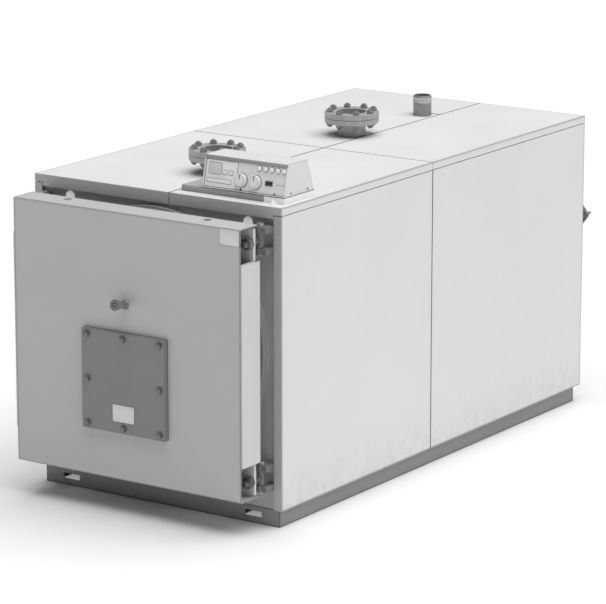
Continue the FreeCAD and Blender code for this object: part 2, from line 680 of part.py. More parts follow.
def control_housing():
    """The folded housing: leaning face, flat top with a rounded rear edge, leaning back."""
    outline = [(CONTROL_BOTTOM_FRONT_Y, CONTROL_BOTTOM_Z), (CONTROL_TOP_FRONT_Y, CONTROL_TOP_Z),
               (CONTROL_TOP_REAR_Y, CONTROL_TOP_Z), (CONTROL_BOTTOM_REAR_Y, CONTROL_BOTTOM_Z)]
    body = prism_along_x(outline, (CONTROL_LEFT_X, CONTROL_RIGHT_X))
    top_rear = [edge for edge in body.Edges
                if abs(edge.CenterOfMass.y - CONTROL_TOP_REAR_Y) < 1
                and abs(edge.CenterOfMass.z - CONTROL_TOP_Z) < 1]
    return body.makeFillet(CONTROL_CORNER_RADIUS, top_rear).cut(fascia_pocket())


def knob_foot(x):
    """The point on the fascia's surface under a knob's centre."""
    foot, up, normal, height = fascia_frame()
    return foot + up * (height * KNOB_HEIGHT_SHARE) - normal * FASCIA_RECESS + V(x, 0, 0)


def control_fascia():
    """The instrument panel, drilled for the two spindles."""
    foot, up, normal, height = fascia_frame()
    low = foot + up * CONTROL_RIM
    high = foot + up * (height - CONTROL_TOP_RIM)
    front, back = normal * -FASCIA_RECESS, normal * -(FASCIA_RECESS + FASCIA_WALL)
    outline = [(corner.y, corner.z) for corner in (low + front, high + front, high + back, low + back)]
    panel = prism_along_x(outline, (CONTROL_LEFT_X + CONTROL_RIM, CONTROL_RIGHT_X - CONTROL_RIM))
    for x in KNOB_XS:
        panel = panel.cut(rod(SPINDLE_HOLE_RADIUS, knob_foot(x), normal * -1, FASCIA_WALL))
    return panel


def knob(x):
    """A round knob on a short spindle."""
    normal = fascia_frame()[2]
    foot = knob_foot(x)
    grip = rod(KNOB_RADIUS, foot + normal * KNOB_GAP, normal, KNOB_DEPTH)
    rim = min(grip.Edges, key=lambda edge: -(edge.CenterOfMass - foot).dot(normal))
    grip = grip.makeChamfer(KNOB_CHAMFER, [rim])
    spindle = rod(SPINDLE_RADIUS, foot - normal * FASCIA_WALL, normal, FASCIA_WALL + 2 * KNOB_GAP)
    return grip.fuse(spindle)


# ---- door ---------------------------------------------------------------------------------

def burner_opening(front_y, depth):
    """The round passage for the burner's blast tube through one layer of the door."""
    return rod(BURNER_PORT_RADIUS, V(0, front_y, BURNER_Z), ALONG_Y, depth)


def door_skin():
    """The front sheet with its top and bottom folds, open at the sides."""
    x_range = (-DOOR_HALF_WIDTH, DOOR_HALF_WIDTH)
    outside = block(x_range, (DOOR_FRONT_Y, DOOR_REAR_Y), (DOOR_BOTTOM_Z, DOOR_TOP_Z))
    front_edges = [edge for edge in outside.Edges
                   if abs(edge.CenterOfMass.y - DOOR_FRONT_Y) < 1 and abs(edge.CenterOfMass.x) < 1]
    outside = outside.makeFillet(DOOR_FOLD_RADIUS, front_edges)
    inside = block(x_range, (DOOR_FRONT_Y + DOOR_SHEET, DOOR_REAR_Y),
                   (DOOR_BOTTOM_Z + DOOR_SHEET, DOOR_TOP_Z - DOOR_SHEET))
    inner_edges = [edge for edge in inside.Edges
                   if abs(edge.CenterOfMass.y - DOOR_FRONT_Y - DOOR_SHEET) < 1
                   and abs(edge.CenterOfMass.x) < 1]
    skin = outside.cut(inside.makeFillet(DOOR_FOLD_RADIUS - DOOR_SHEET, inner_edges))
    for side in (-1, 1):
        start = V(side * DOOR_HOLE_X, DOOR_HOLE_Y, DOOR_TOP_Z - DOOR_SHEET)
        skin = skin.cut(rod(DOOR_HOLE_RADIUS, start, ALONG_Z, DOOR_SHEET))
    return skin.cut(burner_opening(DOOR_FRONT_Y, DOOR_SHEET))


def stud_hole(x, z, y_start, length):
    return rod(STUD_RADIUS, V(x, y_start, z), ALONG_Y, length)


def door_plate():
    """The structural plate that the lining hangs on and the four studs pass through."""
    z_range = (DOOR_BOTTOM_Z + DOOR_SHEET + DOOR_PLATE_MARGIN, DOOR_TOP_Z - DOOR_SHEET - DOOR_PLATE_MARGIN)
    plate = block((-DOOR_PLATE_HALF_WIDTH, DOOR_PLATE_HALF_WIDTH),
                  (DOOR_PLATE_FRONT_Y, DOOR_PLATE_REAR_Y), z_range)
    for side in (-1, 1):
        for z in UNIT_LEVELS:
            plate = plate.cut(stud_hole(side * UNIT_X, z, DOOR_PLATE_FRONT_Y, DOOR_PLATE_WALL))
    return plate.cut(burner_opening(DOOR_PLATE_FRONT_Y, DOOR_PLATE_WALL))


def door_refractory():
    """The round lining with the burner port through it."""
    start = V(0, DOOR_PLATE_REAR_Y, SHELL_Z)
    depth = REFRACTORY_REAR_Y - DOOR_PLATE_REAR_Y
    return rod(REFRACTORY_RADIUS, start, ALONG_Y, depth).cut(burner_opening(DOOR_PLATE_REAR_Y, depth))


def side_cover(side):
    """The folded cover on a door edge, stopping short of the hinge units."""
    z_range = (DOOR_BOTTOM_Z + HINGE_CUT_OUT, DOOR_TOP_Z - HINGE_CUT_OUT)
    y_range = (DOOR_FRONT_Y + DOOR_SHEET, DOOR_REAR_Y)
    outer = side * SIDE_COVER_HALF_WIDTH
    fold_x = (outer, outer - side * SIDE_COVER_RETURN)
    rear_x = (outer, side * DOOR_PLATE_HALF_WIDTH)
    folds = [
        block((outer, outer - side * DOOR_SHEET), y_range, z_range),
        block(fold_x, (y_range[0], y_range[0] + DOOR_SHEET), z_range),
        block(fold_x, (y_range[0], DOOR_PLATE_FRONT_Y), (z_range[0], z_range[0] + DOOR_SHEET)),
        block(fold_x, (y_range[0], DOOR_PLATE_FRONT_Y), (z_range[1] - DOOR_SHEET, z_range[1])),
        block(rear_x, (DOOR_REAR_Y - DOOR_SHEET, DOOR_REAR_Y), z_range),
    ]
    return joined(folds)


def blanking_bolt_centres():
    """X and Z of each bolt: the corners and the middles of the sides."""
    steps = (-1, 0, 1)
    return [(column * BLANKING_BOLT_X, BURNER_Z + row * BLANKING_BOLT_Z)
            for column in steps for row in steps if column or row]


def burner_blanking_plate():
    """The bolted plate over the burner opening."""
    half = BLANKING_SIZE / 2
    front = DOOR_FRONT_Y - BLANKING_WALL
    plate = block((-half, half), (front, DOOR_FRONT_Y), (BURNER_Z - half, BURNER_Z + half))
    for x, z in blanking_bolt_centres():
        plate = plate.cut(rod(BLANKING_HOLE_RADIUS, V(x, front, z), ALONG_Y, BLANKING_WALL))
    return plate


def blanking_plate_bolts():
    """The plate's bolts, each with its washer, ending at the door's sheet."""
    front = DOOR_FRONT_Y - BLANKING_WALL
    bolts = []
    for x, z in blanking_bolt_centres():
        washer_y = front - BLANKING_WASHER_WALL
        washer = rod(BLANKING_WASHER_RADIUS, V(x, washer_y, z), ALONG_Y, BLANKING_WASHER_WALL)
        head_y = washer_y - BLANKING_HEAD_HEIGHT
        head = hexagon(BLANKING_BOLT_FLATS, V(x, head_y, z), ALONG_Y, BLANKING_HEAD_HEIGHT)
        shank = rod(BLANKING_BOLT_RADIUS, V(x, washer_y, z), ALONG_Y, DOOR_FRONT_Y - washer_y)
        bolts.append(joined([washer, head, shank]))
    return group(bolts)


def sight_tube():
    """The viewing tube with its round cap, leaning up towards the viewer."""
    direction = V(0, -math.cos(SIGHT_TUBE_TILT), math.sin(SIGHT_TUBE_TILT))
    start = V(0, DOOR_FRONT_Y, SIGHT_TUBE_Z)
    sunk = DOOR_SHEET / 2
    tube_body = rod(SIGHT_TUBE_RADIUS, start - direction * sunk, direction, SIGHT_TUBE_LENGTH + sunk)
    behind = block((-SIGHT_CAP_RADIUS, SIGHT_CAP_RADIUS), (DOOR_FRONT_Y, DOOR_FRONT_Y + SIGHT_TUBE_RADIUS),
                   (SIGHT_TUBE_Z - SIGHT_CAP_RADIUS, SIGHT_TUBE_Z + SIGHT_CAP_RADIUS))
    cap = rod(SIGHT_CAP_RADIUS, start + direction * SIGHT_TUBE_LENGTH, direction, SIGHT_CAP_LENGTH)
    tip = start + direction * (SIGHT_TUBE_LENGTH + SIGHT_CAP_LENGTH)
    hole = rod(SIGHT_HOLE_RADIUS, tip, direction * -1, SIGHT_HOLE_DEPTH)
    return tube_body.cut(behind).fuse(cap).cut(hole)


# ---- hinge and clamp units ----------------------------------------------------------------

def unit_bracket(side, z):
    """Two hubs above and below the barrel, each on a block welded to the front plate."""
    x_range = (side * UNIT_X, side * BLOCK_OUTER_X)
    y_range = (UNIT_Y - BLOCK_HALF_DEPTH, BASE_FRONT_Y)
    solids = []
    for direction in (-1, 1):
        near = z + direction * (BARREL_HEIGHT / 2 + HUB_GAP)
        far = near + direction * HUB_HEIGHT
        start = V(side * UNIT_X, UNIT_Y, min(near, far))
        hub = rod(HUB_RADIUS, start, ALONG_Z, HUB_HEIGHT)
        arm = block(x_range, y_range, (near, far))
        solids.append(hub.fuse(arm).cut(rod(PIN_RADIUS, start, ALONG_Z, HUB_HEIGHT)))
    return solids


def unit_brackets(side):
    return group([solid for z in UNIT_LEVELS for solid in unit_bracket(side, z)])


def unit_pins():
    """A headed pin through each unit."""
    pins = []
    for side in (-1, 1):
        for z in UNIT_LEVELS:
            tail = V(side * UNIT_X, UNIT_Y, z - PIN_CLAMP_HALF - PIN_TAIL)
            top = V(side * UNIT_X, UNIT_Y, z + PIN_CLAMP_HALF)
            shank = rod(PIN_RADIUS, tail, ALONG_Z, top.z - tail.z)
            pins.append(shank.fuse(hexagon(PIN_HEAD_FLATS, top, ALONG_Z, PIN_HEAD_HEIGHT)))
    return group(pins)


def unit_barrels(side, bore_radius, seat_radius):
    """The barrels round the pins, each with a seat for the stud's end."""
    barrels = []
    for z in UNIT_LEVELS:
        start = V(side * UNIT_X, UNIT_Y, z - BARREL_HEIGHT / 2)
        barrel = tube(BARREL_RADIUS, bore_radius, start, ALONG_Z, BARREL_HEIGHT)
        seat_start = V(side * UNIT_X, UNIT_Y - BARREL_RADIUS, z)
        barrels.append(barrel.cut(rod(seat_radius, seat_start, ALONG_Y, STUD_SEAT_DEPTH)))
    return group(barrels)


def right_hinge_barrels():
    return unit_barrels(1, BARREL_BORE_RADIUS, STUD_RADIUS)


def left_clamp_barrels():
    return unit_barrels(-1, PIN_RADIUS, STUD_RADIUS + STUD_CLEARANCE)


def door_studs():
    """A stud through the door plate at each unit, with its nut in front and collar behind."""
    studs = []
    stud_tail_y = UNIT_Y - BARREL_RADIUS + STUD_SEAT_DEPTH
    for side in (-1, 1):
        for z in UNIT_LEVELS:
            start = V(side * UNIT_X, STUD_END_Y, z)
            tail_gap = STUD_CLEARANCE if side < 0 else 0
            shank = rod(STUD_RADIUS, start, ALONG_Y, stud_tail_y - tail_gap - STUD_END_Y)
            nut_start = V(side * UNIT_X, DOOR_PLATE_FRONT_Y - NUT_HEIGHT, z)
            nut = hexagon(NUT_FLATS, nut_start, ALONG_Y, NUT_HEIGHT)
            collar = rod(COLLAR_RADIUS, V(side * UNIT_X, DOOR_PLATE_REAR_Y, z), ALONG_Y, COLLAR_WALL)
            studs.append(joined([shank, nut, collar]))
    return group(studs)


# ---- the assembly -------------------------------------------------------------------------

NODES = {
    "base_left_beam": lambda: side_beam(-1),
    "base_right_beam": lambda: side_beam(1),
    "base_front_beam": base_front_beam,
    "base_rear_beam": base_rear_beam,
    "rear_saddle": rear_saddle,
    "front_plate": front_plate,
    "sealing_ring": sealing_ring,
    "boiler_shell": boiler_shell,
    "front_tube_plate": front_tube_plate,
    "rear_tube_plate": rear_tube_plate,
    "rear_shell_end": rear_shell_end,
    "furnace_tube": furnace_tube,
    "smoke_tubes": smoke_tubes,
    "front_left_panel": lambda: front_side_panel(-1),
    "front_right_panel": lambda: front_side_panel(1),
    "rear_left_panel": lambda: rear_side_panel(-1),
    "rear_right_panel": lambda: rear_side_panel(1),
    "front_left_cover": front_left_cover,
    "front_right_cover": front_right_cover,
    "rear_left_cover": rear_left_cover,
    "rear_right_cover": rear_right_cover,
    "rear_panel": rear_panel,
    "smoke_box": smoke_box,
    "smoke_box_cover": smoke_box_cover,
    "box_cover_studs": box_cover_studs,
    "flue_collar": flue_collar,
    "drain_nipple": drain_nipple,
    "flow_connection": lambda: water_connection(FLOW_PIPE_Y),
    "flow_counter_flange": lambda: counter_flange(FLOW_PIPE_Y),
    "return_connection": lambda: water_connection(RETURN_PIPE_Y),
    "return_counter_flange": lambda: counter_flange(RETURN_PIPE_Y),
    "flange_gaskets": lambda: group([flange_gasket(FLOW_PIPE_Y), flange_gasket(RETURN_PIPE_Y)]),
    "flow_flange_bolts": lambda: flange_bolts(FLOW_PIPE_Y),
    "return_flange_bolts": lambda: flange_bolts(RETURN_PIPE_Y),
    "safety_nipple": safety_nipple,
    "control_plinth": control_plinth,
    "control_housing": control_housing,
    "control_fascia": control_fascia,
    "left_knob": lambda: knob(KNOB_XS[0]),
    "right_knob": lambda: knob(KNOB_XS[1]),
    "right_hinge_brackets": lambda: unit_brackets(1),
    "left_clamp_brackets": lambda: unit_brackets(-1),
    "hinge_pins": unit_pins,
    "left_clamp_barrels": left_clamp_barrels,
    "right_hinge_barrels": right_hinge_barrels,
    "door_studs": door_studs,
    "door_skin": door_skin,
    "door_plate": door_plate,
    "door_refractory": door_refractory,
    "door_left_cover": lambda: side_cover(-1),
    "door_right_cover": lambda: side_cover(1),
    "burner_blanking_plate": burner_blanking_plate,
    "blanking_plate_bolts": blanking_plate_bolts,
    "sight_tube": sight_tube,
}


def main():
    os.makedirs("parts", exist_ok=True)
    for name, make in NODES.items():
        shape = make()
        shape.translate(ORIGIN_SHIFT)
        shape.exportStep(os.path.join("parts", name + ".step"))
        print(f"{name}: {len(shape.Solids)} solids, {shape.Volume / 1e6:.2f} litres, valid {shape.isValid()}")


main()
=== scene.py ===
"""Dresses an industrial hot-water boiler: finishes, fasteners, fittings, studio and camera."""

import json
import logging
import math
from dataclasses import dataclass
from enum import Enum
from typing import Any, Sequence

import bmesh
import bpy
from mathutils import Matrix, Vector

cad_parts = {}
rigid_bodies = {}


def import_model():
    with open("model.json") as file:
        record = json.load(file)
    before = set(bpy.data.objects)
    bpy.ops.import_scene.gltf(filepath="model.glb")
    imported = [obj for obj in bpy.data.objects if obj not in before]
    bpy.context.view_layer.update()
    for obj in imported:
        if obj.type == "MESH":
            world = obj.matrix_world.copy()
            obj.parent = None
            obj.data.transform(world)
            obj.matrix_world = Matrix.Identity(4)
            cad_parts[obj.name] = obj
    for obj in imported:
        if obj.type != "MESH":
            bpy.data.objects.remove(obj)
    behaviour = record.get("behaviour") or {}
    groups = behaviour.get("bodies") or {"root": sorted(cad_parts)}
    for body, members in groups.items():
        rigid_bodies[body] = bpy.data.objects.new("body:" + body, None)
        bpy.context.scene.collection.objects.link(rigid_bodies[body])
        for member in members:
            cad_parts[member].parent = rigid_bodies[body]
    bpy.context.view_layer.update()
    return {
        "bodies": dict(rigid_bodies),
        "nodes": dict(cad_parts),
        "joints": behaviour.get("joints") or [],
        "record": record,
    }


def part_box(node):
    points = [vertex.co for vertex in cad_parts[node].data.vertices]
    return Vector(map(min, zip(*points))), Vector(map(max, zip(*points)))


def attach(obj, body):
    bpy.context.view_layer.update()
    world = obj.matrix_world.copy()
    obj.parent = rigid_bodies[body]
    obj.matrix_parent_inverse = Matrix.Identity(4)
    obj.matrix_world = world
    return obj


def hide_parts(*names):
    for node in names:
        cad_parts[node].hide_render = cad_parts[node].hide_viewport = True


log = logging.getLogger("boiler")

SMOOTH_ANGLE = math.radians(32)
RIDGE_SHARE = 0.52  # a thread ridge's radius, as a share of the pitch
ROPE_POINTS = 1400
STRANDS = 3
LAY_SHARE = 0.52  # how far a strand's line is from the rope's, as a share of the rope's radius
STRAND_SHARE = 0.54
BEAD_RIPPLE = 0.12  # how much a weld bead swells at each ripple
BEAD_JITTER = 0.08
RGB = tuple[float, float, float]
Point2 = tuple[float, float]
Spans = tuple[float, float, float, float]
UP, FRONT, REAR = Vector((0, 0, 1)), Vector((0, -1, 0)), Vector((0, 1, 0))


class Body(Enum):
    """The bodies that pieces ride on."""

    BOILER = "boiler"
    DOOR = "door"
    LEFT_DIAL = "left_dial"
    RIGHT_DIAL = "right_dial"


class Pattern(Enum):
    """How repeated fasteners or fittings are laid out in their local plane."""

    RING = "ring"
    RECTANGLE = "rectangle"
    LINE = "line"


# ---- shader trees -------------------------------------------------------------------------


class Wire:
    """An output socket of a finish's node tree; arithmetic on it adds Math nodes."""

    def __init__(self, tree: "ShaderTree", socket: bpy.types.NodeSocket) -> None:
        """Wrap one output socket of a tree."""
        self.tree = tree
        self.socket = socket

    def _math(self, operation: str, first: Any, second: Any = 0.0) -> "Wire":
        """Add one Math node and return its output."""
        return self.tree.node("ShaderNodeMath", {"operation": operation}, {0: first, 1: second})

    def __add__(self, other: Any) -> "Wire":
        """Sum."""
        return self._math("ADD", self, other)

    def __radd__(self, other: Any) -> "Wire":
        """Reflected sum."""
        return self._math("ADD", other, self)

    def __sub__(self, other: Any) -> "Wire":
        """Difference."""
        return self._math("SUBTRACT", self, other)

    def __rsub__(self, other: Any) -> "Wire":
        """Reflected difference."""
        return self._math("SUBTRACT", other, self)

    def __mul__(self, other: Any) -> "Wire":
        """Product."""
        return self._math("MULTIPLY", self, other)

    def __rmul__(self, other: Any) -> "Wire":
        """Reflected product."""
        return self._math("MULTIPLY", other, self)

    def larger(self, other: Any) -> "Wire":
        """The higher of two values."""
        return self._math("MAXIMUM", self, other)

    def magnitude(self) -> "Wire":
        """The value without its sign."""
        return self._math("ABSOLUTE", self)

    def wave(self) -> "Wire":
        """The sine of the value."""
        return self._math("SINE", self)

    def step(self, start: float, end: float) -> "Wire":
        """A smooth step from 0 at start to 1 at end.

        Args:
            start: value where the step leaves 0.
            end: value where the step reaches 1; it may lie below start.

        Returns:
            The stepped value.
        """
        low, high, to_low, to_high = (start, end, 0.0, 1.0) if start < end else (end, start, 1.0, 0.0)
        values = {0: self, 1: low, 2: high, 3: to_low, 4: to_high}
        return self.tree.node("ShaderNodeMapRange", {"interpolation_type": "SMOOTHSTEP"}, values)


class ShaderTree:
    """The node tree of one finish while it is built."""

    def __init__(self, name: str) -> None:
        """Start an empty material.

        Args:
            name: the finish's name.
        """
        self.material = bpy.data.materials.new(name)
        self.material.use_nodes = True
        self.material.node_tree.nodes.clear()

    def node(self, kind: str, settings: dict[str, Any], values: dict[Any, Any], output: Any = 0) -> Wire:
        """Add any node, set it up and connect it.

        Args:
            kind: the node's type.
            settings: its own properties, set first; "stops" fills a colour ramp.
            values: numbers, colours or wires for its input sockets, by name or place.
            output: the output to return, by name or place.

        Returns:
            The chosen output.
        """
        node = self.material.node_tree.nodes.new(kind)
        for key, value in settings.items():
            if key == "stops":
                while len(node.color_ramp.elements) < len(value):
                    node.color_ramp.elements.new(1.0)
                for element, (position, colour) in zip(node.color_ramp.elements, value):
                    element.position, element.color = position, (*colour, 1.0)
            else:
                setattr(node, key, value)
        for key, value in values.items():
            if isinstance(value, Wire):
                self.material.node_tree.links.new(value.socket, node.inputs[key])
            else:
                node.inputs[key].default_value = value
        return Wire(self, node.outputs[output])

    def place(self) -> Wire:
        """Object coordinates, in metres."""
        return self.node("ShaderNodeTexCoord", {}, {}, "Object")

    def moved(self, place: Wire, centre: Vector, scale: Sequence[float] = (1, 1, 1)) -> Wire:
        """Coordinates counted from a centre and stretched.

        Args:
            place: the coordinates.
            centre: the new origin.
            scale: the factor on each axis.

        Returns:
            The changed coordinates.
        """
        shifted = self.node("ShaderNodeVectorMath", {"operation": "SUBTRACT"}, {0: place, 1: tuple(centre)})
        return self.node("ShaderNodeVectorMath", {"operation": "MULTIPLY"}, {0: shifted, 1: tuple(scale)})

    def axes(self, place: Wire) -> tuple[Wire, Wire, Wire]:
        """The three coordinates as separate values."""
        split = self.node("ShaderNodeSeparateXYZ", {}, {0: place})
        outputs = split.socket.node.outputs
        return Wire(self, outputs[0]), Wire(self, outputs[1]), Wire(self, outputs[2])

    def upward(self) -> Wire:
        """How far the surface faces up, from 0 to 1."""
        normal = self.node("ShaderNodeNewGeometry", {}, {}, "Normal")
        return self.axes(normal)[2].step(0.55, 0.95)

    def noise(self, place: Wire, scale: float, detail: float = 2.0, roughness: float = 0.5) -> Wire:
        """Soft noise from 0 to 1.

        Args:
            place: where it is read.
            scale: cycles per metre.
            detail: how many finer layers it has.
            roughness: how strong those layers are.

        Returns:
            The noise value.
        """
        values = {"Vector": place, "Scale": scale, "Detail": detail, "Roughness": roughness}
        return self.node("ShaderNodeTexNoise", {}, values, 0)

    def cells(self, place: Wire, scale: float, randomness: float = 1.0) -> Wire:
        """Distance to the nearest cell centre."""
        values = {"Vector": place, "Scale": scale, "Randomness": randomness}
        return self.node("ShaderNodeTexVoronoi", {}, values, "Distance")

    def blend(self, factor: Any, first: Any, second: Any) -> Wire:
        """Mix two colours.

        Args:
            factor: 0 for the first colour, 1 for the second.
            first: a colour or a wire.
            second: a colour or a wire.

        Returns:
            The mixed colour.
        """
        colours = [value if isinstance(value, Wire) else (*value, 1.0) for value in (first, second)]
        values = {0: factor, 6: colours[0], 7: colours[1]}
        return self.node("ShaderNodeMix", {"data_type": "RGBA"}, values, 2)

    def bump(self, height: Wire, distance: float, strength: float = 1.0, under: Wire | None = None) -> Wire:
        """Turn a height from 0 to 1 into a normal.

        Args:
            height: the height value.
            distance: metres between 0 and 1.
            strength: how much of it shows.
            under: a normal to add to.

        Returns:
            The normal.
        """
        values: dict[Any, Any] = {"Height": height, "Distance": distance, "Strength": strength}
        if under is not None:
            values["Normal"] = under
        return self.node("ShaderNodeBump", {}, values)

    def finish(self, values: dict[str, Any]) -> bpy.types.Material:
        """Close the tree with its shader.

        Args:
            values: the shader's inputs by name.

        Returns:
            The finished material.
        """
        shader = self.node("ShaderNodeBsdfPrincipled", {}, values)
        output = self.material.node_tree.nodes.new("ShaderNodeOutputMaterial")
        self.material.node_tree.links.new(shader.socket, output.inputs["Surface"])
        return self.material


def scaled(colour: RGB, factor: float) -> RGB:
    """A colour made lighter or darker."""
    return tuple(min(1.0, channel * factor) for channel in colour)


def grey(tone: float, warmth: float = 0.0) -> RGB:
    """A neutral colour, a little blue or warm.

    Args:
        tone: its linear brightness.
        warmth: share by which red rises and blue falls.

    Returns:
        The colour.
    """
    return tone * (1 + warmth), tone, tone * (1 - warmth)


# ---- finishes -----------------------------------------------------------------------------


@dataclass(frozen=True)
class BoxEdges:
    """The folded edges of a box-shaped piece, along which a dark band of painted shade is laid."""

    low: Vector
    high: Vector
    width: float

    def mask(self, tree: ShaderTree, place: Wire) -> Wire:
        """A value of 1 on the box's edges that falls to 0 within their width.

        Args:
            tree: the finish's tree.
            place: object coordinates.

        Returns:
            The mask.
        """
        near = []
        for value, low, high in zip(tree.axes(place), self.low, self.high):
            reach = ((value - (low + high) / 2).magnitude() * -1.0) + (high - low) / 2
            near.append(reach.step(self.width, self.width * 0.4))
        first, second, third = near
        return (first * second).larger((second * third).larger(first * third))


@dataclass(frozen=True)
class Finish:
    """A named finish; each kind of finish says what its shader's inputs are."""

    name: str

    def inputs(self, tree: ShaderTree, place: Wire) -> dict[str, Any]:
        """Build the finish's nodes.

        Args:
            tree: the tree that they go in.
            place: object coordinates.

        Returns:
            The shader's inputs by name.
        """
        raise NotImplementedError

    def material(self) -> bpy.types.Material:
        """Build the whole material."""
        tree = ShaderTree(self.name)
        return tree.finish(self.inputs(tree, tree.place()))


@dataclass(frozen=True)
class PowderCoat(Finish):
    """Baked paint on folded sheet: orange peel, faint clouding, dust on top, a soiled foot, and painted shade
    along the folds and on the front-facing lips.
    """

    colour: RGB
    roughness: float = 0.46
    clouding: float = 0.05
    dust: float = 0.10
    dust_colour: RGB = (0.62, 0.61, 0.59)
    peel: float = 0.00005
    edges: tuple[BoxEdges, ...] = ()
    edge_shade_tone: float = 0.45
    edge_shade_share: float = 0.75
    foot_height: float = 0.0
    front_shade_from: float | None = None
    front_shade_tone: float = 0.60

    def inputs(self, tree: ShaderTree, place: Wire) -> dict[str, Any]:
        """Build the paint's node tree."""
        cloud = tree.noise(place, 2.6, 5.0, 0.62)
        speck = tree.noise(place, 190.0, 3.0, 0.6)
        share = cloud * 0.7 + speck * 0.3
        light, dark = scaled(self.colour, 1 + self.clouding), scaled(self.colour, 1 - self.clouding)
        colour = tree.blend(share.step(0.3, 0.7), dark, light)
        settled = tree.upward() * tree.noise(place, 9.0, 6.0, 0.7).step(0.42, 0.75) * self.dust
        colour = tree.blend(settled, colour, self.dust_colour)
        if self.foot_height:
            height = tree.axes(place)[2]
            splash = height.step(self.foot_height, 0.0) * tree.noise(place, 22.0, 5.0, 0.65).step(0.35, 0.8)
            colour = tree.blend(splash * 0.35, colour, scaled(self.colour, 0.55))
        # painted shade: a dark band along the box's folded edges
        for edge in self.edges:
            rim = edge.mask(tree, place) * (0.75 + 0.25 * tree.noise(place, 60.0, 3.0))
            colour = tree.blend(rim * self.edge_shade_share, colour, scaled(self.colour, self.edge_shade_tone))
        # painted shade: the front-facing lips are darkened as if turned from the light
        if self.front_shade_from is not None:
            trim = tree.axes(place)[1].step(self.front_shade_from, self.front_shade_from - 0.0003)
            colour = tree.blend(trim, colour, scaled(self.colour, self.front_shade_tone))
        rough = self.roughness + (cloud - 0.5) * 0.16 + settled * 0.3
        orange = tree.noise(place, 420.0, 2.0, 0.45)
        normal = tree.bump(orange, self.peel, 0.7)
        return {"Base Color": colour, "Roughness": rough, "Normal": normal}


@dataclass(frozen=True)
class PlainSteel(Finish):
    """Bare or zinc-plated steel with drawn grain and tarnish."""

    colour: RGB
    metallic: float = 0.85
    roughness: float = 0.38
    grain_axis: tuple[float, float, float] = (1.0, 1.0, 0.12)
    tarnish: RGB = (0.16, 0.15, 0.14)
    tarnish_share: float = 0.45

    def inputs(self, tree: ShaderTree, place: Wire) -> dict[str, Any]:
        """Build the steel's node tree."""
        grain = tree.noise(tree.moved(place, Vector(), self.grain_axis), 900.0, 3.0, 0.6)
        patches = tree.noise(place, 38.0, 6.0, 0.68)
        colour = tree.blend(grain, scaled(self.colour, 0.86), scaled(self.colour, 1.12))
        stain = patches.step(0.48, 0.72) * self.tarnish_share
        colour = tree.blend(stain, colour, self.tarnish)
        rough = self.roughness + (grain - 0.5) * 0.18 + stain * 0.35
        metal = self.metallic - stain * 0.4
        normal = tree.bump(grain * 0.6 + patches * 0.4, 0.00004, 0.6)
        return {"Base Color": colour, "Metallic": metal, "Roughness": rough, "Normal": normal}


@dataclass(frozen=True)
class TurnedSteel(Finish):
    """Primed steel turned on a lathe: rings round an upright axis, primer clouding, faint rust."""

    colour: RGB
    centre: Vector
    roughness: float = 0.5
    metallic: float = 0.25
    ring_pitch: float = 0.0016

    def inputs(self, tree: ShaderTree, place: Wire) -> dict[str, Any]:
        """Build the turned surface's node tree."""
        across = tree.moved(place, self.centre, (1.0, 1.0, 0.0))
        radius = tree.node("ShaderNodeVectorMath", {"operation": "LENGTH"}, {0: across}, "Value")
        rings = (radius * (2 * math.pi / self.ring_pitch)).wave() * 0.5 + 0.5
        facing = tree.upward()
        cloud = tree.noise(place, 30.0, 5.0, 0.66)
        colour = tree.blend(cloud.step(0.3, 0.7), scaled(self.colour, 0.88), scaled(self.colour, 1.1))
        rust = tree.noise(place, 85.0, 6.0, 0.72).step(0.62, 0.78) * 0.35
        colour = tree.blend(rust, colour, (0.17, 0.12, 0.09))
        colour = tree.blend(rings * facing * 0.18, colour, scaled(self.colour, 1.35))
        rough = self.roughness + (cloud - 0.5) * 0.2 + rust * 0.4
        normal = tree.bump(rings * facing, 0.00006, 0.8)
        normal = tree.bump(tree.noise(place, 600.0, 3.0), 0.00004, 0.6, normal)
        return {"Base Color": colour, "Metallic": self.metallic, "Roughness": rough, "Normal": normal}


@dataclass(frozen=True)
class FiredSteel(Finish):
    """Rolled boiler plate under matt primer, with patches of soot and mill scale."""

    colour: RGB = (0.095, 0.095, 0.1)
    soot: RGB = (0.018, 0.017, 0.017)
    rust: RGB = (0.13, 0.07, 0.045)

    def inputs(self, tree: ShaderTree, place: Wire) -> dict[str, Any]:
        """Build the plate's node tree."""
        scale = tree.noise(place, 14.0, 7.0, 0.7)
        fine = tree.noise(place, 240.0, 4.0, 0.6)
        colour = tree.blend(scale.step(0.35, 0.7), self.colour, scaled(self.colour, 1.5))
        sooty = tree.noise(place, 4.0, 6.0, 0.6).step(0.4, 0.7) * 0.7
        colour = tree.blend(sooty, colour, self.soot)
        colour = tree.blend(fine.step(0.6, 0.75) * 0.35, colour, self.rust)
        rough = 0.62 + sooty * 0.25 + (fine - 0.5) * 0.2
        normal = tree.bump(scale * 0.5 + fine * 0.5, 0.0004, 0.55)
        return {"Base Color": colour, "Metallic": 0.2, "Roughness": rough, "Normal": normal}


@dataclass(frozen=True)
class MouldedPlastic(Finish):
    """Fine-grained moulded plastic with a faint speckle."""

    colour: RGB
    roughness: float = 0.5
    grain: float = 0.00005
    speckle: float = 0.06
    grain_scale: float = 1500.0

    def inputs(self, tree: ShaderTree, place: Wire) -> dict[str, Any]:
        """Build the plastic's node tree."""
        grain = tree.cells(place, self.grain_scale)
        speck = tree.noise(place, 700.0, 3.0, 0.7)
        wiped = tree.noise(place, 16.0, 4.0, 0.6)
        tones = scaled(self.colour, 1 - self.speckle), scaled(self.colour, 1 + self.speckle)
        colour = tree.blend(speck * 0.6 + wiped * 0.4, *tones)
        rough = self.roughness + (wiped - 0.5) * 0.16 + (speck - 0.5) * 0.1
        normal = tree.bump(grain, self.grain, 0.6)
        return {"Base Color": colour, "Roughness": rough, "Normal": normal}


